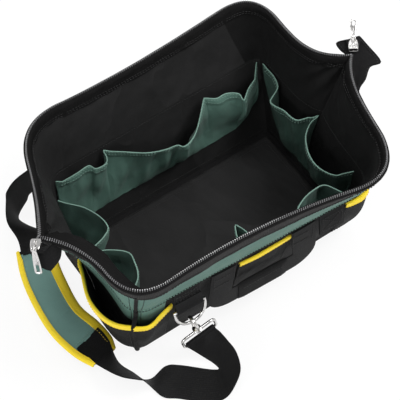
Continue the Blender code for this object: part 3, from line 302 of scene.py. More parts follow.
def cloth(name, low, high, pale, structure, values, creases, dust, rough=0.8, sheen=0.02, shine=0.12, depth=0.0002):
    """A woven finish. Low and high are the colours of its threads' sides and tops, and pale is where it is lighter.
    Creases are their scale, stretch and height."""
    look, tree, shader, where = new_look(name, "UV")
    fine = place_group(tree, structure, where, **values)
    patches = place_group(tree, patch_group, where, Scale=16.0)["Mask"]
    specks = place_group(tree, dust_group, where, Scale=520.0, Amount=dust)["Mask"]
    tone = mixed(tree, fine["Tone"], low, high)
    tone = mixed(tree, maths(tree, "MULTIPLY", patches, 0.45), tone, pale)
    tree.links.new(mixed(tree, specks, tone, DUST), shader["Base Color"])
    tree.links.new(maths(tree, "MULTIPLY_ADD", patches, -0.12, rough + 0.04), shader["Roughness"])
    shader["Sheen Weight"].default_value = sheen
    shader["Sheen Roughness"].default_value = 0.45
    shader["Specular IOR Level"].default_value = shine
    large = place_group(tree, crease_group, where, Scale=creases[0], Stretch=creases[1])
    normal = bump(tree, large["Height"], creases[2], 0.5)
    tree.links.new(bump(tree, fine["Height"], depth, 0.6, normal), shader["Normal"])
    return look


# %% Black cloths
LINING_WEAVE = dict(Threads=2300.0, Slubs=0.2)
BLACK_CANVAS = cloth(
    "black_canvas", (0.0036, 0.0036, 0.0039), (0.0078, 0.0078, 0.0082), (0.0115, 0.0112, 0.0116), weave_group,
    dict(Threads=1500.0, Slubs=0.3), (18.0, 0.5, 0.0024), 0.08)
LINING = cloth(
    "black_lining", (0.0075, 0.0074, 0.0075), (0.0135, 0.0133, 0.0135), (0.030, 0.0295, 0.030), weave_group,
    LINING_WEAVE, (9.0, 0.7, 0.0110), 0.03, rough=0.62, shine=0.22)
# A darker copy of the lining: painted shade for the inside of the right end.
PAINTED_SHADE_LINING = cloth(
    "dark_lining", (0.0036, 0.0036, 0.0037), (0.0070, 0.0069, 0.0070), (0.0140, 0.0138, 0.0140), weave_group,
    LINING_WEAVE, (9.0, 0.7, 0.0110), 0.03, rough=0.66, shine=0.14)
BLACK_TAPE = cloth(
    "black_tape", (0.0030, 0.0030, 0.0031), (0.0085, 0.0083, 0.0084), (0.0110, 0.0108, 0.0110), ribs_group,
    dict(Pitch=0.0022, Cross_pitch=0.0012), (46.0, 0.5, 0.0022), 0.05, sheen=0.0, shine=0.06, depth=0.0006)
OUTER_TAPE = cloth(
    "outer_tape", (0.0070, 0.0070, 0.0072), (0.0300, 0.0290, 0.0295), (0.0380, 0.0370, 0.0375), ribs_group,
    dict(Pitch=0.0026, Cross_pitch=0.0016), (30.0, 0.5, 0.0010), 0.05, shine=0.10, depth=0.0008)
BLACK_WEBBING = cloth(
    "black_webbing", (0.0030, 0.0030, 0.0033), (0.0088, 0.0088, 0.0092), (0.0120, 0.0120, 0.0126), ribs_group,
    dict(Pitch=0.0021, Cross_pitch=0.0013), (8.0, 0.6, 0.0008), 0.08, rough=0.72, depth=0.0004)

# %% Green and yellow cloths
POCKET_WEAVE = dict(Threads=1700.0, Slubs=0.25)
GREEN_CANVAS = cloth(
    "green_canvas", (0.066, 0.142, 0.115), (0.096, 0.196, 0.162), (0.120, 0.225, 0.190), weave_group,
    dict(Threads=1400.0, Slubs=0.25), (18.0, 0.5, 0.0020), 0.12, rough=0.76, sheen=0.05, shine=0.22)
PAD_GREEN = cloth(
    "pad_green", (0.120, 0.226, 0.202), (0.166, 0.306, 0.276), (0.196, 0.350, 0.316), weave_group,
    dict(Threads=1400.0, Slubs=0.3), (14.0, 0.5, 0.0040), 0.12, rough=0.76, sheen=0.05, shine=0.22)
POCKET_GREEN = cloth(
    "pocket_green", (0.062, 0.128, 0.102), (0.092, 0.182, 0.148), (0.114, 0.214, 0.176), weave_group,
    POCKET_WEAVE, (24.0, 0.5, 0.0030), 0.1, rough=0.70, sheen=0.06, shine=0.25)
# A darker copy of the pocket green: painted shade for the strip on the right wall.
PAINTED_SHADE_GREEN = cloth(
    "shade_green", (0.022, 0.047, 0.037), (0.034, 0.070, 0.056), (0.046, 0.090, 0.072), weave_group,
    POCKET_WEAVE, (24.0, 0.5, 0.0030), 0.1, rough=0.70, sheen=0.03, shine=0.20)
# A lighter green: a painted highlight along the folded hems of the inner pockets.
HEM_HIGHLIGHT_GREEN = cloth(
    "hem_green", (0.130, 0.240, 0.195), (0.200, 0.330, 0.275), (0.250, 0.390, 0.330), weave_group,
    POCKET_WEAVE, (60.0, 0.5, 0.0010), 0.1, rough=0.74, sheen=0.1, shine=0.25)
YELLOW_BINDING = cloth(
    "yellow_binding", (0.800, 0.570, 0.010), (0.980, 0.740, 0.026), (0.990, 0.800, 0.065), ribs_group,
    dict(Pitch=0.0013, Cross_pitch=0.0022), (40.0, 0.5, 0.0010), 0.05, rough=0.62, sheen=0.05, shine=0.25, depth=0.0003)

# %% [markdown]
# ## Plastic, thread and metal
# The zip teeth are moulded black plastic with a glossy coat, coloured grey as a painted highlight for their shine. The
# sliders, rings and hooks are nickel plated. Their roughness varies with fine scratches, and they read the object's own
# coordinates, because they are rigid.


# %% Rigid finishes
def hard(name, dark, light, rough, metal, scratches, dents, coat=0.0):
    """Plastic or metal, with small marks in its roughness and a slight unevenness."""
    look, tree, shader, where = new_look(name, "Object")
    patches = place_group(tree, patch_group, where, Scale=scratches)["Mask"]
    grime = place_group(tree, dust_group, where, Scale=260.0, Amount=0.5)["Mask"]
    tone = mixed(tree, patches, dark, light)
    tree.links.new(mixed(tree, grime, tone, tuple(c * 0.5 for c in dark)), shader["Base Color"])
    tree.links.new(maths(tree, "MULTIPLY_ADD", patches, rough * 0.7, rough * 0.65), shader["Roughness"])
    shader["Metallic"].default_value = metal
    shader["Coat Weight"].default_value = coat
    tree.links.new(bump(tree, patches, dents, 0.4), shader["Normal"])
    return look


NICKEL = hard("nickel_plate", (0.62, 0.61, 0.60), (0.80, 0.79, 0.78), 0.20, 1.0, 140.0, 0.00012)
# The teeth's grey is a painted highlight for the glints on black plastic; the glossy coat is real.
TOOTH_PLASTIC_PAINTED_GLINT = hard("tooth_plastic", (0.100, 0.100, 0.103), (0.200, 0.200, 0.205), 0.14, 0.0, 260.0, 0.00003, 1.0)
BLACK_THREAD = hard("black_thread", (0.007, 0.007, 0.0074), (0.016, 0.0157, 0.016), 0.55, 0.0, 900.0, 0.00010)
GREEN_THREAD = hard("green_thread", (0.150, 0.270, 0.220), (0.220, 0.360, 0.300), 0.55, 0.0, 900.0, 0.00010)
YELLOW_THREAD = hard("yellow_thread", (0.780, 0.540, 0.020), (0.920, 0.680, 0.060), 0.55, 0.0, 900.0, 0.00010)
STAY_STEEL = hard("stay_steel", (0.30, 0.30, 0.30), (0.45, 0.45, 0.45), 0.35, 1.0, 200.0, 0.0001)
print("finishes:", len(bpy.data.materials))

# %% [markdown]
# ## The shape of the walls
# Every panel, pocket, binding and tooth lies on one surface: the outline of the bag, which changes with height. It is
# rectangular with rounded corners at the base, and at the rim each end runs out to a point under a zip slider. One
# function gives a point anywhere on it, from a place round the outline (0 to 64) and a rise (0 at the floor, 1 at the
# rim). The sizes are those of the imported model.

# %% Sizes
BASE_LENGTH, BASE_WIDTH, BASE_ROUND = 0.372, 0.201, 0.018
BASE_THICK, BOARD_THICK, BOARD_MARGIN = 0.0030, 0.0030, 0.0075
WALL, SEAM_HEIGHT, RIM_HEIGHT, RIM_ROUND = 0.0050, 0.150, 0.241, 0.042
RIM_MORE_ROUND, FRONT_SAG, BACK_SAG, RIM_DIP = 0.025, 0.0214, 0.0122, 0.0096
SEAM_RISE = SEAM_HEIGHT / RIM_HEIGHT
# Each corner's signs in X and Y, how far it leans up to the rim, and how far it flares above the seam.
CORNERS = {
    "front_left": (-1, -1, (-0.020, -0.035), (-0.0104, -0.0191)),
    "front_right": (1, -1, (-0.005, -0.064), (-0.0021, -0.0237)),
    "back_right": (1, 1, (0.0095, 0.058), (0.0075, 0.0194)),
    "back_left": (-1, 1, (0.002, 0.049), (-0.0070, 0.0193)),
}
# Each half of an end runs out to its point in a sharp part, of a power and a share, and in a soft part, of a share.
END_FORMS = {
    "left_front": (3.14, 0.84, 0.056),
    "left_back": (2.05, 0.654, 0.193),
    "right_front": (4.8, 0.666, 0.34),
    "right_back": (6.2, 1.0, 0.0),
}
REACH = {"left": 0.0640, "right": 0.0550}
POINT_BACK = {"left": 0.0, "right": 0.0045}
REST_GAP = 0.0003


# %% One face of the bag
def clamp(value):
    """The nearest number from 0 to 1."""
    return min(1.0, max(0.0, value))


def over_seam(rise):
    return max(0.0, (rise - SEAM_RISE) / (1 - SEAM_RISE))


def corner(name, rise):
    """Where two faces would meet. The bands above the seam flare a little more than the lower walls."""
    sign_x, sign_y, lean, flare = CORNERS[name]
    over = over_seam(rise)
    x = sign_x * BASE_LENGTH / 2 + lean[0] * rise + flare[0] * over
    return Vector((x, sign_y * BASE_WIDTH / 2 + lean[1] * rise + flare[1] * over))


def face_place(face, along, rise):
    """A point on one face. Along is X on the front and back, and Y on the ends."""
    over = over_seam(rise)
    dip = 0.0
    if face in ("front", "back"):
        left, right = corner(face + "_left", rise), corner(face + "_right", rise)
        share = (along - left.x) / (right.x - left.x)
        sag = FRONT_SAG if face == "front" else -BACK_SAG * (1 - 0.616 * (share - 0.5))
        x, y = along, left.y + (right.y - left.y) * share + sag * 4 * share * (1 - share) * over
        if face == "front":
            dip = RIM_DIP * share ** 2
    else:
        front, back = corner("front_" + face, rise), corner("back_" + face, rise)
        middle = POINT_BACK[face] * rise
        half = "front" if along < middle else "back"
        end = front if half == "front" else back
        far = min(1.0, abs(along - middle) / abs(end.y - middle))
        power, cusp, soft = END_FORMS[face + "_" + half]
        share = (along - front.y) / (back.y - front.y)
        outward = 1 if face == "right" else -1
        x = front.x + (back.x - front.x) * share
        x += outward * REACH[face] * rise ** 2.2 * (cusp * (1 - far) ** power + soft * (1 - far ** 4))
        y = along
        if face == "right" and half == "front":
            dip = RIM_DIP * far
    return Vector((x, y, RIM_HEIGHT * rise - dip * over))


# %% Once round the outline
FRONT_LEFT, FRONT_RIGHT, BACK_RIGHT, BACK_LEFT = 62, 12, 30, 44
RIGHT_POINT, LEFT_POINT = 21, 53
RUNS = (("front", 0, 10, False), ("right", 14, 28, False), ("back", 32, 42, True), ("left", 46, 60, True))
TURNS = ((10, 14, "front_right"), (28, 32, "back_right"), (42, 46, "back_left"), (60, 64, "front_left"))


@lru_cache(maxsize=None)
def outline_place(u, rise):
    """The smooth outline at a place from 0 to 64, anticlockwise from the front's left."""
    u %= 64
    cut = BASE_ROUND + (RIM_ROUND - BASE_ROUND) * rise + RIM_MORE_ROUND * over_seam(rise)
    for face, first, last, backward in RUNS:
        if first <= u <= last:
            part = (u - first) / (last - first)
            part = 1 - part if backward else part
            if face in ("front", "back"):
                low, high = corner(face + "_left", rise).x + cut, corner(face + "_right", rise).x - cut
                return face_place(face, low + (high - low) * part, rise)
            middle = POINT_BACK[face] * rise
            low, high = corner("front_" + face, rise).y + cut, corner("back_" + face, rise).y - cut
            end = low if part < 0.5 else high
            return face_place(face, middle + (end - middle) * abs(2 * part - 1) ** 1.3, rise)
    for first, last, name in TURNS:
        if first <= u <= last:
            t = (u - first) / (last - first)
            a, b, c = outline_place(first, rise), outline_place(last % 64, rise), corner(name, rise)
            flat = a.xy * (1 - t) ** 2 + c * 2 * t * (1 - t) + b.xy * t ** 2
            return Vector((flat.x, flat.y, a.z + (b.z - a.z) * t))


@lru_cache(maxsize=None)
def outline_normal(k, rise):
    run = outline_place((k + 1) % 64, rise) - outline_place((k - 1) % 64, rise)
    return Vector((run.y, -run.x, 0.0)).normalized()


# %% [markdown]
# Real cloth panels are never flat. A small ripple is added to the wall along its normal. It fades to nothing at the
# base, the seam and the rim, where other pieces are sewn on, and it is strongest in the gussets, where the cloth
# gathers towards each slider. Pockets and trims read the same function, so they follow the ripple too.


# %% Ripples, and a point anywhere on the wall
def ripple(u, rise):
    place = outline_place(u, rise)
    lower = rise < SEAM_RISE
    part = rise / SEAM_RISE if lower else (rise - SEAM_RISE) / (1 - SEAM_RISE)
    fade = math.sin(math.pi * clamp(part)) ** 0.7
    calm = noise.noise(place * 13.0) * 0.0026 + noise.noise(place * 31.0 + Vector((5, 1, 2))) * 0.0014
    if lower:
        return calm * fade
    end = min(abs((u % 64) - RIGHT_POINT), abs((u % 64) - LEFT_POINT)) / 11.0
    if end >= 1.0:
        return calm * fade * 1.2
    tip = outline_place(RIGHT_POINT if place.x > 0 else LEFT_POINT, 1.0)
    offset = place - tip
    bearing = math.atan2(-offset.z, abs(offset.y) + 0.002)
    folds = math.sin(bearing * 13.0 + noise.noise(place * 18.0) * 2.6 + (0.9 if offset.y > 0 else 0.0))
    near = math.exp(-(offset.length / 0.085) ** 2)
    return (calm * 1.2 + folds * 0.0034 * near * (1 - end) ** 0.3) * fade


def wall_normal(u, rise):
    low = math.floor(u)
    return outline_normal(low % 64, rise).lerp(outline_normal((low + 1) % 64, rise), u - low)


def skin(u, rise, out=0.0):
    """A point on the wall, or out from it."""
    u = round(u, 5)
    rise = round(rise, 6)
    return outline_place(u % 64, rise) + wall_normal(u, rise) * (out + ripple(u, rise))


def spread(first, last, step):
    """Even places from first to last."""
    count = max(1, math.ceil((last - first) / step - 1e-6))
    return [first + (last - first) * k / count for k in range(count + 1)]


print("rim is", round((outline_place(5, 1.0) - outline_place(37, 1.0)).length * 1000), "mm from front to back")

# %% [markdown]
# ## Helpers that make meshes
# Three kinds of mesh make nearly the whole bag: a sheet with two sides, a run of closed rings, and small parts
# repeated along a path. Each writes a UV map in metres as it goes, and turns its faces outward by the sign of its
# volume.


# %% A mesh from points and faces
def build(name, points, faces, coords, finishes, picks=None, smooth=48):
    """One mesh object. Coords holds a UV pair for each corner of each face."""
    solid = np.array([tuple(p) for p in points], float)
    volume = 0.0
    for face in faces:
        for k in range(1, len(face) - 1):
            volume += np.dot(solid[face[0]], np.cross(solid[face[k]], solid[face[k + 1]]))
    if volume < 0:
        faces = [face[::-1] for face in faces]
        coords = [pair[::-1] for pair in coords]
    mesh = bpy.data.meshes.new(name)
    mesh.from_pydata(solid.tolist(), [], faces)
    layer = mesh.uv_layers.new(name="metres")
    flat = np.array([uv for pair in coords for uv in pair], np.float32)
    layer.data.foreach_set("uv", flat.ravel())
    for look in finishes:
        mesh.materials.append(look)
    if picks is not None:
        mesh.polygons.foreach_set("material_index", picks)
    mesh.shade_smooth()
    mesh.set_sharp_from_angle(angle=math.radians(smooth))
    made = bpy.data.objects.new(name, mesh)
    bpy.context.scene.collection.objects.link(made)
    return made


def lengths(path):
    """Running length at each point of a path."""
    total = [0.0]
    for a, b in zip(path, path[1:]):
        total.append(total[-1] + (b - a).length)
    return total


# %% A sheet with two sides
def two_sided(name, top, under, finishes, pick=None, smooth=48):
    """A closed sheet from two grids of points. Pick gives a face's finish from its side, row and column."""
    rows, cols = len(top), len(top[0])
    along = lengths([row[cols // 2] for row in top])
    across = lengths(top[rows // 2])
    points = [p for grid in (top, under) for row in grid for p in row]
    faces, coords, picks = [], [], []

    def at(side, r, c):
        return side * rows * cols + r * cols + c

    def add(side, r, c, *corners):
        faces.append(tuple(at(*spot) for spot in corners))
        coords.append([(along[spot[1]], across[spot[2]]) for spot in corners])
        picks.append(pick(side, r, c) if pick else min(side, len(finishes) - 1) if side < 2 else 0)

    for r in range(rows - 1):
        for c in range(cols - 1):
            add(0, r, c, (0, r, c), (0, r, c + 1), (0, r + 1, c + 1), (0, r + 1, c))
            add(1, r, c, (1, r + 1, c), (1, r + 1, c + 1), (1, r, c + 1), (1, r, c))
    last_r, last_c = rows - 1, cols - 1
    for r in range(last_r):
        add(2, r, 0, (0, r, 0), (0, r + 1, 0), (1, r + 1, 0), (1, r, 0))
        add(2, r, last_c, (0, r + 1, last_c), (0, r, last_c), (1, r, last_c), (1, r + 1, last_c))
    for c in range(last_c):
        add(2, 0, c, (0, 0, c + 1), (0, 0, c), (1, 0, c), (1, 0, c + 1))
        add(2, last_r, c, (0, last_r, c), (0, last_r, c + 1), (1, last_r, c + 1), (1, last_r, c))
    return build(name, points, faces, coords, finishes, picks, smooth)


# %% A run of rings
def lofted(name, rings, finishes, looped=False, smooth=48, pick=None):
    """Skin closed rings of points, capped at both ends or joined into a loop."""
    size, count = len(rings[0]), len(rings)
    middles = [sum(ring, Vector()) / size for ring in rings]
    along = lengths(middles + middles[:1] if looped else middles)
    round_it = lengths(rings[count // 2] + [rings[count // 2][0]])
    points = [p for ring in rings for p in ring]
    faces, coords, picks = [], [], []
    for r in range(count if looped else count - 1):
        here, there = r * size, (r + 1) % count * size
        for k in range(size):
            after = (k + 1) % size
            faces.append((here + k, here + after, there + after, there + k))
            coords.append([(along[r + i], round_it[k + j]) for i, j in ((0, 0), (0, 1), (1, 1), (1, 0))])
            picks.append(pick(r, k) if pick else 0)
    if not looped:
        for r, order in ((0, range(size)[::-1]), (count - 1, range(size))):
            spokes = [p - middles[r] for p in rings[r]]
            right = spokes[0].normalized()
            other = right.orthogonal() if size < 5 else spokes[size // 4].normalized()
            faces.append(tuple(r * size + k for k in order))
            coords.append([(spokes[k].dot(right), spokes[k].dot(other)) for k in order])
            picks.append(0)
    return build(name, points, faces, coords, finishes, picks, smooth)


# %% Tubes and smooth paths
def closed_spans(points):
    """Each point with the one after it, and the last with the first."""
    return zip(points, points[1:] + points[:1])


def smooth_path(points, steps):
    """A smooth cubic curve through the points. Steps is one number, or one for each span."""
    last = len(points) - 1
    fine = []
    for k in range(last):
        a, b, c, d = points[max(k - 1, 0)], points[k], points[k + 1], points[min(k + 2, last)]
        count = steps[k] if isinstance(steps, list) else steps
        for t in (step / count for step in range(count)):
            bend = (a * 2 - b * 5 + c * 4 - d) * t * t
            fine.append((b * 2 + (c - a) * t + bend + (b * 3 - a - c * 3 + d) * t ** 3) * 0.5)
    return fine + [points[-1]]


def tube_rings(path, radius, sides, looped=False):
    """Rings round a path. Radius may be a function of the share along it."""
    rings, across = [], None
    count = len(path)
    for k in range(count):
        ahead = path[(k + 1) % count] if looped or k < count - 1 else path[k]
        behind = path[k - 1] if looped or k > 0 else path[k]
        run = (ahead - behind).normalized()
        across = run.orthogonal().normalized() if across is None else across
        across = (across - run * across.dot(run)).normalized()
        other = run.cross(across)
        thick = radius(k / (count - 1)) if callable(radius) else radius
        angles = [2 * math.pi * j / sides for j in range(sides)]
        rings.append([path[k] + (across * math.cos(a) + other * math.sin(a)) * thick for a in angles])
    return rings


def even_path(path, step):
    """The same path with even steps."""
    total = lengths(path)
    count = max(2, round(total[-1] / step))
    even, span = [], 0
    for k in range(count + 1):
        want = total[-1] * k / count
        while span < len(path) - 2 and total[span + 1] < want:
            span += 1
        part = (want - total[span]) / max(1e-9, total[span + 1] - total[span])
        even.append(path[span].lerp(path[span + 1], clamp(part)))
    return even


# %% Axes at a place
class Axes:
    """X, Y and Z directions at a place, from an X direction and one that Y leans to."""

    def __init__(self, place, first, second):
        self.place = Vector(place)
        self.x = Vector(first).normalized()
        self.z = self.x.cross(Vector(second)).normalized()
        self.y = self.z.cross(self.x)
        self.matrix = Matrix.Translation(self.place) @ Matrix((self.x, self.y, self.z)).transposed().to_4x4()

    def at(self, x, y, z):
        return self.matrix @ Vector((x, y, z))


# %% Copies of a small part
class Copies:
    """Gathers copies of small parts, and makes one mesh of them."""

    def __init__(self):
        self.points, self.faces = [], []

    def add(self, points, faces):
        start = len(self.points)
        self.points += points
        self.faces += [tuple(start + k for k in face) for face in faces]

    def make(self, name, finish, smooth=48):
        coords = [[(self.points[k].x + self.points[k].y, self.points[k].z) for k in face] for face in self.faces]
        return build(name, self.points, self.faces, coords, [finish], None, smooth)


print("mesh helpers are ready")

# %% [markdown]
# ## Fitting pieces to the bodies
# The lower bag stands still. The bands above the seam fold inward on two hinges, and the gussets between them must
# not tear. Pieces of the bag ride on its body, and pieces of a mouth are left unattached, fixed where they are made.


# %% Riding and blending
BLENDS = {
    "front_mouth": ((0.0, -0.127, 0.150), (0.0, -0.1625, 0.1996)),
    "back_mouth": ((0.0, 0.129, 0.150), (0.0, 0.16535, 0.19673)),
}


def seat(piece, body, slot, *replaced):
    """The piece rides on a body, or is left fixed where it is made if it belongs to a mouth, and stands for CAD nodes.
    """
    if body in BLENDS:
        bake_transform(piece)
    else:
        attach(piece, body)
    if replaced:
        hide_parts(*replaced)
    return piece


# %% [markdown]
# ## Stitches
# A row of stitches is one of the things that tells a sewn object from a moulded one. Each stitch is a small bead,
# longer than it is wide, that stands half out of the cloth. Rows are gathered by body and thread, and one mesh is made
# for each at the end.

# %% Sewing
sewn = {}


def sew(body, thread, path, ups, length=0.0030, gap=0.0013, wide=0.00042):
    """Add a row of stitches along a path. Ups is one direction out of the cloth, or one for each point."""
    book = sewn.setdefault((body, thread.name), Copies())
    total = lengths(path)
    count = int(total[-1] / (length + gap))
    span = 0
    for n in range(count):
        ends = []
        for want in (n * (length + gap), n * (length + gap) + length):
            while span < len(path) - 2 and total[span + 1] < want:
                span += 1
            part = min(1.0, (want - total[span]) / max(1e-9, total[span + 1] - total[span]))
            up = ups if isinstance(ups, Vector) else ups[span].lerp(ups[span + 1], part)
            ends.append((path[span].lerp(path[span + 1], part), up))
        (a, up), (b, _) = ends
        run = (b - a).normalized()
        side = run.cross(up).normalized() * wide
        lift = side.cross(run).normalized() * wide
        points, faces = [a - lift * 0.4], []
        for t, size in ((0.15, 0.9), (0.5, 1.1), (0.85, 0.9)):
            middle = a.lerp(b, t) + lift * 0.35
            points += [middle + side * size, middle + (side * 0.5 + lift) * size, middle + (lift - side * 0.5) * size,
                       middle - side * size, middle - lift * size * 1.2]
        points.append(b - lift * 0.4)
        for k in range(5):
            after = (k + 1) % 5
            faces.append((0, 1 + after, 1 + k))
            for row in (0, 1):
                faces.append((1 + row * 5 + k, 1 + row * 5 + after, 6 + row * 5 + after, 6 + row * 5 + k))
            faces.append((11 + k, 11 + after, 16))
        book.add(points, faces)


def wall_row(first, last, rise, out):
    """A path along the wall at one rise, and its directions out."""
    places = spread(first, last, 0.2)
    sign = 1 if out >= 0 else -1
    return [skin(u, rise, out) for u in places], [wall_normal(u, rise) * sign for u in places]


# %% [markdown]
# ## Bottom and floor board
# The bottom is a stiff panel of black cloth, with a rounded edge where it meets the walls. Inside lies a board in
# lining cloth, a little smaller than the base, and its edge shows as a faint line round the floor.

# %% Bottom
def base_ring(inset, height):
    """Once round the base, in from its edge."""
    places = [k / 4 for k in range(256)]
    return [outline_place(u, 0.0) - wall_normal(u, 0.0) * inset + Vector((0, 0, height)) for u in places]


rings = [base_ring(inset, z) for z, inset in (
    (0.0002, 0.006), (0.0, 0.003), (0.0003, 0.0012), (0.0010, 0.0002), (0.0020, 0.0), (0.0030, 0.0004))]
bottom = seat(lofted("bottom_cloth", rings, [BLACK_CANVAS]), "bag", "black_cloth", "base_panel")
for inset in (0.006, 0.010):
    row = base_ring(inset, 0.0002)
    sew("bag", BLACK_THREAD, row + row[:1], Vector((0, 0, -1)), wide=0.0003)

# %% Floor board
low = BASE_THICK + REST_GAP
rings = [base_ring(WALL + BOARD_MARGIN + inset, low + z) for z, inset in (
    (0.0, 0.0008), (0.0008, 0.0), (0.0022, 0.0), (0.0029, 0.0007), (BOARD_THICK, 0.0022))]
board = seat(lofted("floor_board", rings, [LINING]), "bag", "board", "base_board")
row = base_ring(WALL + BOARD_MARGIN + 0.009, low + BOARD_THICK)
sew("bag", BLACK_THREAD, row + row[:1], Vector((0, 0, 1)))
print("bottom and board:", len(bottom.data.vertices) + len(board.data.vertices), "points")

# %% [markdown]
# ## Lower walls
# Four foam-backed panels rise from the base to the seam. Outside they are green behind the pockets at the
# corners, and black along the front and back, where the webbing hangs. Inside is black lining. They are drawn in at
# their seams, as sewn foam is, and the corners are piped.


# %% Four lower panels
LOWER_ROWS, UPPER_ROWS, QUILT, GREEN_FROM = 26, 20, 0.0009, 0.110


def plump(part):
    """How far a padded panel has risen at a share of the way between two seams."""
    return 1 - (abs(2 * part - 1)) ** 8


def lining_of(name):
    """The lining at the right end is a darker copy of it, painted shade, because that end turns away from the light."""
    return PAINTED_SHADE_LINING if name.startswith("right") else LINING


def lower_panel(name, first, last, replaced):
    places = spread(first, last, 0.25)
    low, high = (BASE_THICK + REST_GAP) / RIM_HEIGHT, SEAM_RISE
    rises = [low + (high - low) * k / LOWER_ROWS for k in range(LOWER_ROWS + 1)]
    top = []
    for u in places:
        edge = plump((u - first) / (last - first)) if name.endswith("end_panel") else 1.0
        top.append([skin(u, rise, -QUILT * (1 - plump(k / LOWER_ROWS)) - 0.0004 * (1 - edge))
                    for k, rise in enumerate(rises)])
    under = [[skin(u, rise, -WALL) for rise in rises] for u in places]

    def finish(side, r, c):
        if side == 1:
            return 1
        u = places[min(r, len(places) - 1)] % 64
        if name.endswith("end_panel"):
            return 2 if rises[min(c, LOWER_ROWS - 1)] > GREEN_FROM / RIM_HEIGHT else 0
        return 0 if 0.45 < u < 11.9 or 33.0 < u < 40.75 else 2

    made = two_sided(name, top, under, [BLACK_CANVAS, lining_of(name), GREEN_CANVAS], finish)
    return seat(made, "bag", "black_cloth", replaced)


panels = [
    lower_panel("front_panel", FRONT_LEFT - 64, FRONT_RIGHT, "front_wall"),
    lower_panel("right_end_panel", FRONT_RIGHT, BACK_RIGHT, "right_end_wall"),
    lower_panel("back_panel", BACK_RIGHT, BACK_LEFT, "back_wall"),
    lower_panel("left_end_panel", BACK_LEFT, FRONT_LEFT, "left_end_wall"),
]
for rise in (SEAM_RISE - 0.016, 0.045):
    for first, last in ((-2, 12), (12, 30), (30, 44), (44, 62)):
        for out in (0.0001, -WALL - 0.0001):
            sew("bag", BLACK_THREAD, *wall_row(first + 0.3, last - 0.3, rise, out))
print("lower panels:", [len(p.data.vertices) for p in panels])


# %% Corner piping
POCKET_TOP, CORNER_LIFT = 0.126, 0.0135


def fullness(share):
    """How far out a pocket stands, from 0 at its foot to 1 at its top."""
    share = clamp(share)
    return (1 - (1 - share) ** 8) * 0.62 + 0.38 * share


def piping(name, place, low, high, body, radius=0.0031, lift=0.0):
    """A cord in a folded strip, which covers the seam at a corner. Below the pocket tops it stands out by lift."""
    rises = spread(low, high, 0.01)
    path = []
    for r in rises:
        height = r * RIM_HEIGHT
        out = lift * fullness(height / POCKET_TOP) * clamp((POCKET_TOP + 0.010 - height) / 0.010)
        path.append(skin(place, r, radius * 0.35 + out))
    made = lofted(name, tube_rings(path, radius, 10), [BLACK_CANVAS])
    for side in (-1, 1):
        sew(body, BLACK_THREAD, [skin(place + side * 0.55, r, 0.0002) for r in rises],
            [wall_normal(place, r) for r in rises])
    return seat(made, body, "black_cloth")


for name, place in zip(CORNERS, (FRONT_LEFT, FRONT_RIGHT, BACK_RIGHT, BACK_LEFT)):
    piping(name + "_piping", place, 0.004, SEAM_RISE, "bag", lift=CORNER_LIFT if name == "front_left" else 0.0)
    piping(name + "_upper_piping", place, SEAM_RISE, 0.915, name.split("_")[0] + "_mouth", 0.0024)

# %% [markdown]
# ## Bands and gussets above the seam
# The upper cloth is green outside and black inside. The front and back bands carry the rim stays. The gussets at the
# two ends are slack, and their folds run towards the sliders. Each gusset is made in two halves, one for each band,
# because a piece bends across one hinge only.


# %% Upper panels
def upper_panel(name, first, last, body, replaced):
    places = spread(first, last, 0.2)
    top_rise = 1 - 0.0042 / RIM_HEIGHT
    rises = [SEAM_RISE + (top_rise - SEAM_RISE) * k / UPPER_ROWS for k in range(UPPER_ROWS + 1)]
    top = [[skin(u, r, -QUILT * (1 - plump(k / UPPER_ROWS))) for k, r in enumerate(rises)] for u in places]
    under = [[skin(u, r, -WALL) for r in rises] for u in places]
    made = two_sided(name, top, under, [GREEN_CANVAS, lining_of(name)])
    sew(body, GREEN_THREAD, *wall_row(first + 0.1, last - 0.1, SEAM_RISE + 0.014, 0.0001))
    return seat(made, body, "green_cloth", replaced)


# Each span of the rim is a side, its half, its first and last place, and its body.
RIM_SPANS = (
    ("front", "", 0, 10, "front_mouth"),
    ("right", "_front_half", 10, RIGHT_POINT, "front_mouth"),
    ("right", "_back_half", RIGHT_POINT, 32, "back_mouth"),
    ("back", "", 32, 42, "back_mouth"),
    ("left", "_back_half", 42, LEFT_POINT, "back_mouth"),
    ("left", "_front_half", LEFT_POINT, 64, "front_mouth"),
)
bands = []
for side, half, first, last, body in RIM_SPANS:
    form, replaced = ("_gusset", "_gusset") if half else ("_band", "_upper_wall")
    bands.append(upper_panel(side + form + half, first, last, body, side + replaced))
print("upper panels:", [b.name for b in bands])

# %% [markdown]
# ## Zip tape
# The tape is folded over the rim with the stay in its fold, wide enough to show as a ribbed black band on both
# sides, with a double row of stitches. Its ribs stand upright, so its UV map is turned a quarter against the webbing's.

# %% Tape over the rim
TAPE_OUTER, TAPE_INNER = 0.031, 0.017
TAPE_SECTION = (
    (TAPE_OUTER, 0.0016), (TAPE_OUTER * 0.55, 0.0019), (0.0045, 0.0019), (0.0014, 0.0013), (0.0002, -0.0005),
    (0.0, -WALL / 2), (0.0002, -WALL + 0.0005), (0.0014, -WALL - 0.0013), (0.0045, -WALL - 0.0019),
    (TAPE_INNER * 0.6, -WALL - 0.0019), (TAPE_INNER, -WALL - 0.0016), (TAPE_INNER, -WALL - 0.0003),
    (0.0040, -WALL - 0.0003), (0.0032, -WALL / 2), (0.0040, 0.0003), (TAPE_OUTER, 0.0003),
)


def flap(u):
    """How far the inner side of the tape lies over towards the opening, from 0 to 1. It does so by the left slider."""
    return max(0.0, math.sin(math.pi * clamp((u % 64 - LEFT_POINT) / 9.5))) ** 0.5


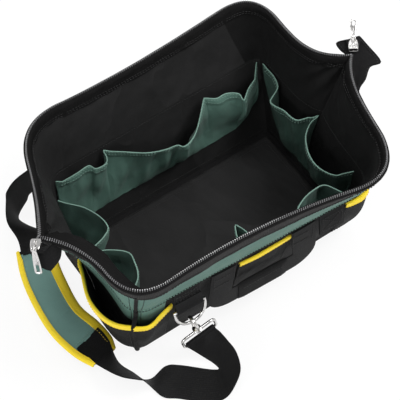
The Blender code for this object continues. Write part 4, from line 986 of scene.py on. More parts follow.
def tape(name, first, last, body, replaced):
    """A folded strip over the rim, as one ring of its section at each place."""
    places = spread(first, last, 0.2)
    rings = []
    for u in places:
        wobble = noise.noise(outline_place(u % 64, 1.0) * 42.0) * 0.0022
        pucker = noise.noise(outline_place(u % 64, 1.0) * 85.0 + Vector((3, 1, 7))) * 0.0012
        lying = math.radians(62) * flap(u)
        ring = []
        for drop, out in TAPE_SECTION:
            deep = drop + (wobble if drop > 0.012 else 0.0)
            out += pucker * min(1.0, drop / 0.010) if abs(out + WALL / 2) > WALL / 2 + 0.0012 else 0.0
            if out < -WALL - 0.0002:
                ring.append(skin(u, 1 - deep * math.cos(lying) / RIM_HEIGHT, out - deep * math.sin(lying)))
            else:
                ring.append(skin(u, 1 - deep / RIM_HEIGHT, out))
        rings.append(ring)
    made = lofted(name, rings, [BLACK_TAPE, OUTER_TAPE], pick=lambda r, c: 1 if c < 2 else 0)
    layer = made.data.uv_layers[0]
    turned = np.zeros(len(layer.data) * 2, np.float32)
    layer.data.foreach_get("uv", turned)
    turned = turned.reshape(-1, 2)[:, ::-1]
    layer.data.foreach_set("uv", np.ascontiguousarray(turned).ravel())
    stitches = [(TAPE_OUTER - 0.0035, 0.0021), (TAPE_OUTER - 0.0065, 0.0021)]
    if not LEFT_POINT <= first < 62:
        stitches += [(0.0145, -WALL - 0.0021), (0.0115, -WALL - 0.0021)]
    for drop, out in stitches:
        sew(body, BLACK_THREAD, *wall_row(first + 0.05, last - 0.05, 1 - drop / RIM_HEIGHT, out))
    return seat(made, body, "zip_tape", *replaced)


for side, half, first, last, body in RIM_SPANS:
    tape(side + "_rim_tape" + half, first, last, body, [] if half else [side + "_zip_tape"])

# %% [markdown]
# ## Zip teeth
# Each tooth is moulded onto the edge of the tape: a body that grips the tape, a narrower neck and a rounded head. A
# tooth is made once in its own axes, and copied every few millimetres round the rim. Along the front and back the
# teeth stand up, and near the sliders they lie over towards the inside.

# %% One tooth
TOOTH_STEP = 0.0030
TOOTH_TIP, MORE_TIP, TIP_SPAN = 12, 40, 5.0


def tooth_shape():
    """Rings of one tooth, from the tape up. X is along the zip, Y across it, and Z up the tooth."""
    levels = ((-0.0020, 0.00066, 0.0010), (-0.0002, 0.0007, 0.0012), (0.0006, 0.0007, 0.0012), (0.0010, 0.0005, 0.0008),
              (0.0016, 0.0005, 0.0008), (0.0020, 0.00070, 0.0011), (0.0026, 0.00070, 0.0011), (0.0029, 0.00052, 0.0009))
    octagon = ((1, 0.6), (0.5, 1), (-0.5, 1), (-1, 0.6), (-1, -0.6), (-0.5, -1), (0.5, -1), (1, -0.6))
    points = [(x * a, y * b, z) for z, x, y in levels for a, b in octagon]
    faces = []
    for start in range(0, len(points) - 8, 8):
        for k in range(8):
            after = (k + 1) % 8
            faces.append((start + k, start + after, start + 8 + after, start + 8 + k))
    return points, faces + [tuple(range(8))[::-1], tuple(range(len(points) - 8, len(points)))]


TOOTH_POINTS, TOOTH_FACES = tooth_shape()


# %% Teeth round the rim
def teeth(name, first, last, body, replaced):
    fine = spread(first, last, 0.05)
    path = [skin(u, 1.0, -WALL / 2) for u in fine]
    total = lengths(path)
    count = int(total[-1] / TOOTH_STEP)
    row = Copies()
    for n in range(count):
        want = (n + 0.5) * total[-1] / count
        k = max(i for i, length in enumerate(total) if length <= want)
        k = min(k, len(path) - 2)
        part = (want - total[k]) / (total[k + 1] - total[k])
        u = fine[k] + (fine[k + 1] - fine[k]) * part
        near = max(0.0, 1 - min(abs(u % 64 - RIGHT_POINT), abs(u % 64 - LEFT_POINT)) / TIP_SPAN)
        tip = math.radians(TOOTH_TIP + MORE_TIP * near ** 0.7)
        way = Vector((0, 0, 1)) * math.cos(tip) - wall_normal(u, 1.0) * math.sin(tip)
        axes = Axes(path[k].lerp(path[k + 1], part), path[k + 1] - path[k], way.cross(path[k + 1] - path[k]))
        row.add([axes.place + axes.x * x + axes.y * y + way * z for x, y, z in TOOTH_POINTS], TOOTH_FACES)
    return seat(row.make(name, TOOTH_PLASTIC_PAINTED_GLINT), body, "zip_teeth", replaced)


for side, half, first, last, body in RIM_SPANS:
    made = teeth(side + "_teeth" + half, first, last, body, side + "_zip_teeth")
    print(made.name, len(made.data.vertices) // len(TOOTH_POINTS), "teeth")


# %% Rim stays inside the fold
def stay(name, first, last, body, replaced):
    path = [skin(u, 1 - 0.0034 / RIM_HEIGHT, -WALL / 2) for u in spread(first, last, 0.4)]
    return seat(lofted(name, tube_rings(path, 0.0014, 10), [STAY_STEEL]), body, "stay_steel", replaced)


stay("front_stay_wire", 0.1, 9.9, "front_mouth", "front_rim_stay")
stay("back_stay_wire", 32.1, 41.9, "back_mouth", "back_rim_stay")

# %% [markdown]
# ## Outer pockets
# Six patches of black cloth are sewn on at their sides and foot, with their open edge bound in yellow. The end
# pockets gape wide, so their binding swings away from the wall. The patch is a sheet that lifts off the wall towards
# its top, and the binding is a folded strip that follows the same edge.


# %% Where a face has a given X or Y
FACE_SPANS = {"front": (-2, 12, 0), "right": (12, 30, 1), "back": (30, 44, 0), "left": (44, 62, 1)}


def place_on(face, along):
    """The place round the outline where a face has this X, or this Y on the ends."""
    low, high, axis = FACE_SPANS[face]
    rising = outline_place(high % 64, SEAM_RISE)[axis] > outline_place(low % 64, SEAM_RISE)[axis]
    for _ in range(40):
        middle = (low + high) / 2
        below = outline_place(middle % 64, SEAM_RISE)[axis] < along
        if below == rising:
            low = middle
        else:
            high = middle
    return (low + high) / 2


# %% A pocket and its binding
BINDING_DEPTH, PATCH_ROWS, PATCH_COLUMNS = 0.0103, 22, 48
# A node, its face, its first and last X or Y, its top, how far it gapes, and what else sets it apart.
OUTER_POCKETS = (
    ("front_left_pocket", "front", -0.1900, -0.1400, 0.126, 0.004, dict(start=(CORNER_LIFT, 1.0))),
    ("front_centre_pocket", "front", -0.0365, 0.0445, 0.138, 0.0016, {}),
    ("front_right_pocket", "front", 0.1330, 0.1730, 0.149, 0.0010, dict(dip=0.004, belly=0.008)),
    ("right_end_pocket", "right", 0.0100, 0.1220, 0.126, 0.010, dict(belly=0.004)),
    ("back_pocket", "back", 0.0405, -0.0405, 0.128, 0.0042, {}),
    ("left_end_pocket", "left", 0.0040, -0.1130, 0.126, 0.028, dict(lean=1.5, end=(CORNER_LIFT, 6.0))),
)
POCKET_FOOT = 0.0060
BINDING_SECTION = (
    (0.0015, 0.0036), (-0.0010, 0.0030), (-0.0016, 0.0012), (-0.0010, -0.0006), (0.0015, -0.0012), (0.0065, -0.0010),
    (0.0065, 0.0000), (0.0005, 0.0002), (0.0, 0.0010), (0.0005, 0.0024))


def outer_pocket(node, face, first_at, last_at, top, gape, dip=0.0, lean=1.0, belly=0.0,
                 start=(0.0, 1.0), end=(0.0, 1.0)):
    """A patch that gapes at its top by gape, dips there at its first side by dip, and bulges below by belly.
    Start and end are how far its two sides stand out, and how fast that fades."""
    first, last = place_on(face, first_at), place_on(face, last_at)
    places = spread(first, last, (last - first) / PATCH_COLUMNS)

    def edge_height(u):
        return top - dip * (1 - clamp((u - first) / (last - first))) ** 3

    def spot(u, below, extra):
        part = clamp((u - first) / (last - first))
        height = edge_height(u) - below
        share = clamp((height - POCKET_FOOT) / (edge_height(u) - POCKET_FOOT))
        swell = max(0.0, math.sin(math.pi * part ** lean))
        full = max(0.0, math.sin(math.pi * part)) ** 0.4
        out = gape * swell + start[0] * (1 - part) ** start[1] + end[0] * part ** end[1]
        bulge = belly * full * max(0.0, math.sin(math.pi * share)) ** 0.8
        lift = 0.0005 - 0.0022 * (1 - share) ** 10 + out * fullness(share) + bulge
        rough = outline_place(u % 64, SEAM_RISE)
        soft = noise.noise(Vector((rough.x, rough.y, height)) * 26.0) * 0.0013 * swell
        soft += math.sin(height * 95 + part * 5) * 0.0006 * swell
        return skin(u, height / RIM_HEIGHT, lift + extra + soft)

    def binding_depth(u):
        if end[0] == 0.0:
            return BINDING_DEPTH * (0.70 if "centre" in node else 1.0)
        return BINDING_DEPTH * (0.32 + 0.68 * min(1.0, (u - first) / (last - first) / 0.62) ** 2)

    def column_of(u, extra):
        deep = edge_height(u) - POCKET_FOOT
        return [spot(u, deep * (1 - k / PATCH_ROWS), extra) for k in range(PATCH_ROWS + 1)]

    patch, edge = [[column_of(u, extra) for u in places] for extra in (0.0020, 0.0002)], []
    for u in places:
        deep = binding_depth(u)
        edge.append([spot(u, *pair) for pair in ((deep, 0.0024), (deep, 0.0034)) + BINDING_SECTION])
    seat(two_sided(node + "_cloth", *patch, [BLACK_CANVAS, BLACK_CANVAS]), "bag", "black_cloth", node)
    bound = lofted(node + "_edge", edge, [YELLOW_BINDING], smooth=60)
    seat(bound, "bag", "yellow_binding", node + "_binding")
    row = [spot(u, binding_depth(u) - 0.0014, 0.0037) for u in places]
    sew("bag", YELLOW_THREAD, row, [wall_normal(u, 0.5) for u in places], wide=0.0003)
    for u in (first + (last - first) * 0.02, last - (last - first) * 0.02):
        sew("bag", BLACK_THREAD, column_of(u, 0.0024)[:-2], wall_normal(u, 0.4), wide=0.0003)
    low = [spot(u, edge_height(u) - POCKET_FOOT - 0.003, 0.0022) for u in places]
    sew("bag", BLACK_THREAD, low, [wall_normal(u, 0.1) for u in places], wide=0.0003)


for *row, extras in OUTER_POCKETS:
    outer_pocket(*row, **extras)
print("outer pockets:", len(OUTER_POCKETS))

# %% [markdown]
# ## Inner pockets
# Inside, a long strip of green cloth runs along each wall. It is stitched down at intervals, and cut longer than the
# wall, so that each bay bellies inward and its hem sags. The hem is folded double and stitched twice, and its edge
# catches the light, which is painted on as a lighter green highlight. The strip on the right wall is painted darker, as
# shade.

# %% Hems of the inner pockets
# Each row is a place round the outline, the hem's height there and how far it stands in from the wall, in millimetres.
INNER_HEMS = {
    "back": (0.042, (
        (30.5, 146, 1), (31.25, 142, 13), (32.5, 136, 26), (33.06, 131, 35), (33.08, 134, 24), (33.59, 137, 16),
        (34.1, 137, 15), (34.5, 140, 9), (34.66, 141, 9), (35.14, 136, 22), (35.78, 130, 39), (36.29, 128, 47),
        (36.72, 127, 48), (36.9, 128, 42), (37.5, 130, 40), (38.37, 134, 32), (39.19, 138, 16), (39.7, 142, 8),
        (39.96, 144, 3), (40.0, 140, 13), (40.21, 137, 18), (40.7, 138, 17), (40.93, 143, 11), (41.64, 143, 12),
        (42.95, 142, 10), (43.6, 142, 2))),
    "right": (0.02, (
        (14.12, 142, 6), (14.36, 139, 20), (14.65, 135, 29), (15.85, 132, 39), (17.18, 132, 39), (18.6, 134, 31),
        (19.51, 137, 21), (20.3, 141, 8), (20.75, 142, 4), (21.3, 142, 6), (22.34, 140, 11), (23.13, 136, 22),
        (24.42, 136, 23), (25.3, 134, 27), (25.87, 134, 27), (26.2, 138, 14), (26.5, 141, 6), (27.4, 143, 2),
        (28.4, 143, 2), (29.3, 146, 1))),
    "left": (0.0085, (
        (46.4, 143, 1), (46.9, 141, 11), (47.69, 138, 29), (49.0, 136, 43), (50.29, 136, 46), (51.15, 138, 36),
        (51.85, 140, 23), (52.6, 142, 9), (54.2, 142, 10), (54.73, 141, 18), (55.44, 138, 31), (56.58, 136, 45),
        (57.54, 136, 42), (58.51, 138, 36), (59.31, 141, 26), (60.3, 142, 3))),
    "front": (0.0085, (
        (0.4, 142, 1), (1.2, 138, 16), (2.0, 142, 2), (3.1, 139, 12), (4.3, 142, 4), (4.78, 138, 34),
        (4.98, 136, 45), (5.1, 138, 36), (5.5, 142, 4), (7.0, 140, 10), (8.05, 142, 28), (8.9, 138, 35),
        (9.35, 138, 33), (9.6, 141, 18), (9.8, 143, 3))),
}
HEM, HEM_THICK, STRIP_THICK, STRIP_ROWS = 0.0095, 0.0006, 0.0014, 22
# Past the first of these places the foot of a strip rises, and from the second on it lies under the hem.
CORNER_LIMITS = {"back": (33.2, 30.6), "right": (26.4, 29.2)}


def inner_pocket(face, foot, hem_rows):
    """A strip from its foot on the wall up to the hem. It hangs a little hollow and is creased where it's slack."""
    line = smooth_path([Vector(row) for row in hem_rows], 10)
    limits = CORNER_LIMITS.get(face)
    rows_out, rows_in, ups = [], [], []
    for u, high, deep in line:
        top, gape = high * 0.001, max(0.0006, deep * 0.001)
        low = foot
        if limits and (u - limits[0]) * (limits[1] - limits[0]) > 0:
            low = foot + (top - HEM * 1.6 - foot) * min(1.0, (u - limits[0]) / (limits[1] - limits[0]))
        heights = [low + (top - HEM * 1.1 - low) * k / STRIP_ROWS for k in range(STRIP_ROWS + 1)]
        heights += [top - HEM, top - HEM * 0.5, top]
        front_row, back_row = [], []
        place = outline_place(round(u % 64, 5), SEAM_RISE)
        slack = min(1.0, gape / 0.016 + 0.1)
        for height in heights:
            share = max(0.0, (height - foot) / (top - foot))
            lean = height * 26 * noise.noise(Vector((place.x * 9, place.y * 9, 4.0)))
            hang = math.sin(math.pi * share)
            drape = noise.noise(Vector((place.x * 40 + lean, place.y * 40, height * 10))) * 0.0110 * hang ** 0.6
            small = noise.noise(Vector((place.x * 90 + lean, place.y * 90, height * 26)))
            drape += small * 0.0054 * (0.3 + 0.7 * share) * (1 - share ** 6)
            inward = WALL + 0.0008 + gape * share ** 0.85 + drape * slack + 0.0016 * hang * (1 - slack)
            hem = HEM_THICK if height >= top - HEM else 0.0
            front_row.append(skin(u, height / RIM_HEIGHT, -inward - STRIP_THICK - hem))
            back_row.append(skin(u, height / RIM_HEIGHT, -inward))
        rows_out.append(front_row)
        rows_in.append(back_row)
        ups.append(-wall_normal(u, 0.5))
    cols = len(rows_out[0])

    # The top edge of each strip, and its rolled hem, take the painted highlight green.
    def finish(side, r, c):
        return 1 if side == 2 and c == cols - 1 else 0

    # The right wall's strip gets painted shade, a darker copy of the pocket green.
    green = PAINTED_SHADE_GREEN if face == "right" else POCKET_GREEN
    made = two_sided(face + "_pocket_strip", rows_out, rows_in, [green, HEM_HIGHLIGHT_GREEN], finish)
    seat(made, "bag", "green_cloth", face + "_inner_pocket")
    for share in (0.25, 0.8):
        sew("bag", GREEN_THREAD, [row[-3].lerp(row[-1], share) for row in rows_out], ups, wide=0.00036)
    rim = [row[-1].lerp(rows_in[k][-1], 0.5) for k, row in enumerate(rows_out)]
    roll = lofted(face + "_pocket_hem", tube_rings(even_path(rim, 0.003), 0.0009, 8), [HEM_HIGHLIGHT_GREEN])
    seat(roll, "bag", "green_cloth")


for face, (foot, hem_rows) in INNER_HEMS.items():
    inner_pocket(face, foot, hem_rows)
print("inner pockets on four walls, with", sum(len(rows) for _, rows in INNER_HEMS.values()), "hem places")

# %% [markdown]
# ## Webbing tabs and D-rings
# Below the seam hang two webbing tabs on each side. One is folded round the straight bar of a D-ring, and sewn with a
# boxed cross. The other is plain.


# %% Frames of the tabs and rings
def face_normal(face, along, rise):
    reach = BASE_ROUND / 8
    run = face_place(face, along + reach, rise) - face_place(face, along - reach, rise)
    out = Vector((run.y, -run.x, 0.0)).normalized()
    return out if face in ("front", "right") else -out


def side_sign(face):
    return 1 if face == "front" else -1


TAB_WIDTH, TAB_LENGTH, TAB_THICK, TAB_DROP = 0.040, 0.031, 0.0022, 0.0016
RING_WIRE, RING_WIDTH, RING_DEPTH = 0.0021, 0.046, 0.031
RING_TAB_AT, PLAIN_TAB_AT, RING_HOLD = -0.120, 0.109, RING_WIRE + REST_GAP


def tab_axes(face, place):
    """X along the wall, Y down the tab, Z out."""
    along = place * side_sign(face)
    out = face_normal(face, along, SEAM_RISE)
    top = face_place(face, along, (SEAM_HEIGHT - TAB_DROP) / RIM_HEIGHT)
    down = Vector((0, 0, -1)) + out * 0.13
    return Axes(top + out * REST_GAP, down.cross(out), down)


def ring_way(face):
    return (Vector((0, 0, -1)) + face_normal(face, 0.0, SEAM_RISE) * 0.28).normalized()


def ring_centre(face):
    axes = tab_axes(face, RING_TAB_AT)
    return axes.place + axes.y * TAB_LENGTH + axes.z * (TAB_THICK + RING_WIRE + REST_GAP)


# %% Tabs
def strip(name, axes, section, replaced):
    """A tab bent to a section of (down, out) pairs, with its outer and inner lines as two sheets."""
    columns = [TAB_WIDTH * (k / 12 - 0.5) for k in range(13)]
    top, under = ([[axes.place + axes.x * w + axes.y * d + axes.z * o for w in columns] for d, o in line]
                  for line in section)
    return seat(two_sided(name, top, under, [BLACK_WEBBING]), "bag", "webbing", replaced)


def boxed_cross(axes, first, last, out):
    """Stitches round a box, and corner to corner across it."""
    half = TAB_WIDTH / 2 - 0.004
    corners = [(-half, first), (half, first), (half, last), (-half, last), (-half, first), (half, last)]
    for (x1, y1), (x2, y2) in list(zip(corners, corners[1:])) + [((half, first), (-half, last))]:
        path = [axes.at(x1 + (x2 - x1) * k / 8, y1 + (y2 - y1) * k / 8, out) for k in range(9)]
        sew("bag", BLACK_THREAD, path, axes.z)


def folded_line(flat, radius, ends):
    """One line of a tab that's folded round its ring: down flat, round the bar and back up."""
    line = [(d, flat) for d in spread(-0.003, TAB_LENGTH, 0.004)]
    for a in (math.radians(-90 + 240 * k / 16) for k in range(1, 17)):
        line.append((TAB_LENGTH + radius * math.cos(a), TAB_THICK + RING_HOLD + radius * math.sin(a)))
    return line + [(TAB_LENGTH - up, TAB_THICK + out) for up, out in zip((0.012, 0.017), ends)]


for face in ("front", "back"):
    axes = tab_axes(face, RING_TAB_AT)
    outer = folded_line(0.0, RING_HOLD + 0.0019, (0.0030, 0.0022))
    inner = folded_line(TAB_THICK * 0.8, RING_HOLD, (0.0012, 0.0006))
    strip(face + "_ring_webbing", axes, (outer, inner), face + "_ring_tab")
    boxed_cross(axes, 0.003, 0.014, TAB_THICK * 0.8 + 0.0002)
    axes = tab_axes(face, PLAIN_TAB_AT)
    drops = spread(-0.003, TAB_LENGTH * 1.25, 0.004)
    inner = [(d, TAB_THICK * (1.0 + 0.5 * math.sin(math.pi * max(0.0, d) / (TAB_LENGTH * 1.25)))) for d in drops]
    strip(face + "_plain_webbing", axes, ([(d, 0.0) for d in drops], inner), face + "_plain_tab")
    boxed_cross(axes, 0.005, 0.032, TAB_THICK * 1.5 + 0.0002)


# %% D-rings
def wire(name, line, radius, sides, smooth, looped=False):
    """Round nickel wire along a line."""
    return lofted(name, tube_rings(line, radius, sides, looped), [NICKEL], looped, smooth)


for face in ("front", "back"):
    centre, axes, half = ring_centre(face), tab_axes(face, RING_TAB_AT), RING_WIDTH / 2
    line = [centre + axes.x * (-half + RING_WIDTH * k / 8) for k in range(9)]
    for k in range(1, 24):
        a = math.pi * k / 24
        wide = half + RING_WIRE * math.sin(a) * 0.4
        line.append(centre + axes.x * wide * math.cos(a) + ring_way(face) * RING_DEPTH * math.sin(a) ** 0.8)
    seat(wire(face + "_ring_wire", line, RING_WIRE, 14, 70, True), face + "_ring", "nickel", face + "_d_ring")
print("tabs and rings on both sides")

# %% [markdown]
# ## Snap hooks
# A swivel snap hook hangs from each ring. Its cast hook thins towards the nose, its barrel has a groove and a rim, and
# a sprung gate with a thumb stud closes it. The post turns in the barrel, and its wide eye holds the strap.

# %% Frame of a hook
HOOK_WIRE, HOOK_REACH, HOOK_SPAN, HOOK_PLAY = 0.0027, 0.0290, 0.0092, 0.0008
BARREL_RADIUS, BARREL_HEIGHT, EYE_DROP, EYE_WIRE, STRAP_NECK = 0.0062, 0.0056, 0.0215, 0.0021, 0.046


def hook_axes(face):
    """Z up the post, X along the eye, Y out from the bag. Z = 0 is the barrel's top."""
    sign = side_sign(face)
    up = Vector((-0.20 * sign, 0.05 * sign, 0.98)).normalized()
    base = ring_centre(face) + ring_way(face) * RING_DEPTH - up * (HOOK_REACH - RING_WIRE - HOOK_WIRE - HOOK_PLAY)
    out = up.cross(Vector((-sign, 0.0, -0.20))).normalized()
    return Axes(base, out.cross(up), out)


def turned(axes, profile, sides=24):
    """Rings of a turned part, from (radius, height) pairs."""
    angles = [2 * math.pi * k / sides for k in range(sides)]
    return [[axes.at(radius * math.cos(a), radius * math.sin(a), z) for a in angles] for radius, z in profile]


def joined(name, parts):
    """One object from several."""
    bpy.ops.object.select_all(action="DESELECT")
    for part in parts:
        part.select_set(True)
    bpy.context.view_layer.objects.active = parts[0]
    bpy.ops.object.join()
    parts[0].name = name
    return parts[0]


# %% Hook, gate, post and eye
HOOK_PATH = ((-0.62, -0.10), (-0.80, 0.10), (-0.98, 0.30), (-1.0, 0.55), (-0.80, 0.82),
             (-0.42, 0.97), (0.0, 1.0), (0.45, 0.96), (0.82, 0.82), (1.0, 0.66))
BARREL = (
    (0.0023, -BARREL_HEIGHT), (BARREL_RADIUS * 0.86, -BARREL_HEIGHT), (BARREL_RADIUS, -BARREL_HEIGHT + 0.0008),
    (BARREL_RADIUS, -BARREL_HEIGHT + 0.0018), (BARREL_RADIUS * 0.88, -BARREL_HEIGHT + 0.0022),
    (BARREL_RADIUS * 0.88, -0.0020), (BARREL_RADIUS, -0.0016), (BARREL_RADIUS, -0.0006), (BARREL_RADIUS * 0.86, 0.0),
    (0.0023, 0.0))
STUD = ((0.0006, -0.0005), (0.0013, 0.0), (0.0013, 0.0026), (0.0018, 0.0030), (0.0018, 0.0040), (0.0010, 0.0044))
EYE_TOP = -BARREL_HEIGHT - REST_GAP - EYE_WIRE
POST = (
    (0.0016, EYE_TOP), (0.0019, EYE_TOP + 0.001), (0.0019, REST_GAP), (0.0034, REST_GAP), (0.0034, REST_GAP + 0.0009),
    (0.0022, REST_GAP + 0.0017))


def eye_loop():
    """The eye's wire in its plane, as a rectangle with rounded corners."""
    lower, soft = EYE_TOP - EYE_DROP, EYE_WIRE * 1.6
    half = STRAP_NECK / 2 + soft + REST_GAP
    return [(-half, EYE_TOP - soft * 1.6), (-half, lower + soft), (-half + soft * 0.3, lower + soft * 0.3),
            (-half + soft, lower), (half - soft, lower), (half - soft * 0.3, lower + soft * 0.3), (half, lower + soft),
            (half, EYE_TOP - soft * 1.6), (half - soft * 0.6, EYE_TOP - soft * 0.4), (half - soft * 1.8, EYE_TOP),
            (-half + soft * 1.8, EYE_TOP), (-half + soft * 0.6, EYE_TOP - soft * 0.4)]


for face in ("front", "back"):
    axes = hook_axes(face)
    line = smooth_path([axes.at(0.0, y * HOOK_SPAN, z * HOOK_REACH) for y, z in HOOK_PATH], 5)
    curve = wire("hook_curve", line, lambda t: HOOK_WIRE * (1.12 - 0.30 * t), 14, 70)
    body = joined(face + "_hook_casting", [curve, lofted("barrel", turned(axes, BARREL), [NICKEL])])
    seat(body, face + "_hook", "nickel", face + "_hook_body")
    start = axes.at(0.0, BARREL_RADIUS * 0.80, HOOK_REACH * 0.10)
    nose = axes.at(0.0, HOOK_PATH[-1][0] * HOOK_SPAN, HOOK_PATH[-1][1] * HOOK_REACH - REST_GAP * 5)
    bar = wire("gate_bar", [start.lerp(nose, k / 6) for k in range(7)], 0.0016, 12, 48)
    stud = turned(Axes(start.lerp(nose, 0.30), axes.x, -axes.z), STUD, 12)
    gate = joined(face + "_gate_bar", [bar, lofted("gate_stud", stud, [NICKEL])])
    seat(gate, face + "_gate", "nickel", face + "_hook_gate")
    ring_line = []
    for (x1, z1), (x2, z2) in closed_spans(eye_loop()):
        count = max(1, round(math.hypot(x2 - x1, z2 - z1) / 0.004))
        ring_line += [axes.at(x1 + (x2 - x1) * k / count, 0.0, z1 + (z2 - z1) * k / count) for k in range(count)]
    eye = wire("eye_wire", ring_line, EYE_WIRE, 14, 70, True)
    eye = joined(face + "_eye_and_post", [eye, lofted("post", turned(axes, POST, 16), [NICKEL])])
    seat(eye, face + "_ring", "nickel", face + "_hook_eye")
print("snap hooks are hung")

# %% [markdown]
# ## Sliders and pulls
# A zip slider is two plates joined by a post at its wide end, with a bridge over the top for the pull. Here the plates
# are made from a rounded outline that tapers to the nose, with a bevel on every edge. The pull is a flat tab with a
# long hole, rolled round the bridge.

# %% Frames of the sliders
SLIDER_LENGTH, SLIDER_WIDTH, SLIDER_PLATE, SLIDER_SPACE = 0.016, 0.0125, 0.0014, 0.0048
RUNNING_GAP, SLIDER_LIFT = REST_GAP * 15, 0.0012
LUG_RADIUS, LUG_WIDTH, PULL_LENGTH, PULL_WIDTH, PULL_THICK = 0.0016, 0.0036, 0.038, 0.0095, 0.0014
# A slider's way along the zip, a way across it, and how its pull stands in its axes.
SLIDER_WAYS = {
    "left": ((-0.62, -0.785, 0.0), (-0.776, 0.613, -0.15), (0.40, -0.917)),
    "right": ((0.62, 0.785, 0.0), (0.776, -0.613, 0.15), (0.99, -0.12)),
}


def slider_axes(side):
    """X out along the zip, Y up through the slider, Z across it."""
    way, across, _ = SLIDER_WAYS[side]
    tip = face_place(side, POINT_BACK[side], 1.0)
    start = tip + Vector(way) * (SLIDER_LENGTH / 2 + RUNNING_GAP) + Vector((0, 0, SLIDER_LIFT))
    return Axes(start, way, Vector(across).cross(Vector(way)))


def plate(name, axes, outline, low, high, bevel=0.0004):
    """A flat part of an outline in X and Z, from a low to a high Y, with bevelled edges."""
    middle = Vector((sum(x for x, _ in outline), sum(z for _, z in outline))) / len(outline)
    rings = []
    for y, inset in ((low, bevel), (low + bevel, 0.0), (high - bevel, 0.0), (high, bevel)):
        ring = []
        for x, z in outline:
            away = Vector((x, z)) - middle
            away = away * (1 - inset / max(away.length, 1e-6))
            ring.append(axes.at(middle.x + away.x, y, middle.y + away.y))
        rings.append(ring)
    return lofted(name, rings, [NICKEL], smooth=35)


# %% Slider bodies
half, wide = SLIDER_LENGTH / 2, SLIDER_WIDTH / 2
inner, outer = SLIDER_SPACE / 2, SLIDER_SPACE / 2 + SLIDER_PLATE
shape = [(-half, wide * 0.80), (-half + 0.0014, wide * 0.98), (-half + 0.004, wide), (0.0, wide * 0.97),
         (half * 0.55, wide * 0.86), (half * 0.88, wide * 0.74), (half, wide * 0.48)]
shape += [(x, -z) for x, z in reversed(shape)]
post = [(-half + x, z) for x, z in (
    (0.0008, 0.0012), (0.0034, 0.0020), (0.0046, 0.0), (0.0034, -0.0020), (0.0008, -0.0012))]
arch = ((-half * 0.55, outer - 0.0004), (-half * 0.50, outer + 0.0012), (-half * 0.1, outer + 0.0026),
        (half * 0.55, outer + 0.0028), (half + 0.0006, outer + 0.0022), (half + 0.0012, outer + 0.0008),
        (half * 0.90, outer - 0.0003))
for side in ("left", "right"):
    axes = slider_axes(side)
    parts = [plate("top_plate", axes, shape, inner, outer), plate("under_plate", axes, shape, -outer, -inner)]
    parts.append(plate("post", axes, post, -inner - 0.0003, inner + 0.0003, 0.0001))
    parts.append(wire("bridge", smooth_path([axes.at(x, y, 0.0) for x, y in arch], 4), 0.0013, 10, 60))
    for edge in (-1, 1):
        parts.append(wire("rail", [axes.at(x, inner - 0.0001, edge * z) for x, z in shape[:6]], 0.0007, 8, 60))
    seat(joined(side + "_slider_casting", parts), side + "_slider_body", "nickel", side + "_slider")


# %% Pulls
def pull_outline():
    wide = PULL_WIDTH / 2
    line = [(0.0012, wide * 0.56), (0.0050, wide * 0.70), (0.0120, wide * 0.86), (0.0220, wide),
            (PULL_LENGTH - wide * 1.2, wide * 1.04)]
    for k in range(7):
        a = math.pi / 2 - math.pi * k / 6
        line.append((PULL_LENGTH - wide * 0.55 + wide * 0.55 * math.cos(a), wide * 0.98 * math.sin(a)))
    return line + [(x, -z) for x, z in reversed(line[:5])]


def pull_hole():
    wide = PULL_WIDTH / 2
    first, last, radius = PULL_LENGTH - wide * 2.6, PULL_LENGTH - wide * 1.05, wide * 0.45
    line = []
    for centre, start in ((last, 90), (first, -90)):
        for k in range(7):
            a = math.radians(start - 30 * k)
            line.append((centre + radius * math.cos(a), radius * math.sin(a)))
    return line


for side in ("left", "right"):
    axes = slider_axes(side)
    out, rise = SLIDER_WAYS[side][2]
    pivot = axes.at(SLIDER_LENGTH / 2 + LUG_RADIUS * 0.5, SLIDER_SPACE / 2 + SLIDER_PLATE + LUG_RADIUS * 0.9, 0.0)
    pull = Axes(pivot, axes.x * out + axes.y * rise, axes.z.cross(axes.x * out + axes.y * rise))
    body = plate("pull_tab", pull, pull_outline(), -PULL_THICK / 2, PULL_THICK / 2, 0.0003)
    cutter = plate("pull_cutter", pull, pull_hole(), -PULL_THICK * 2, PULL_THICK * 2, 0.0)
    hole = body.modifiers.new("hole", "BOOLEAN")
    hole.operation, hole.solver, hole.object = "DIFFERENCE", "EXACT", cutter
    bpy.context.view_layer.objects.active = body
    bpy.ops.object.modifier_apply(modifier="hole")
    bpy.data.objects.remove(cutter)
    parts = [body]
    for edge in (-1, 1):
        across, turns = edge * (LUG_WIDTH / 2 + 0.0010), [2 * math.pi * j / 10 for j in range(10)]
        ear = [pull.at(0.0028 * math.cos(a) - 0.0004, 0.0019 * math.sin(a), across) for a in turns]
        parts.append(wire("ear", ear, 0.0008, 8, 60, True))
    rib_line = [pull.at(x, PULL_THICK / 2, 0.0) for x in spread(0.006, 0.020, 0.002)]
    parts.append(wire("pull_rib", rib_line, 0.0009, 8, 60))
    seat(joined(side + "_pull_tab", parts), side + "_pull_body", "nickel", side + "_pull")
print("sliders and pulls are on")

# %% [markdown]
# ## Tails of the zip
# Past each slider the zip ends in a tab of tape folded double, which droops over the end of the bag. The tab is a
# sheet through a few rows across it, smoothed between them.

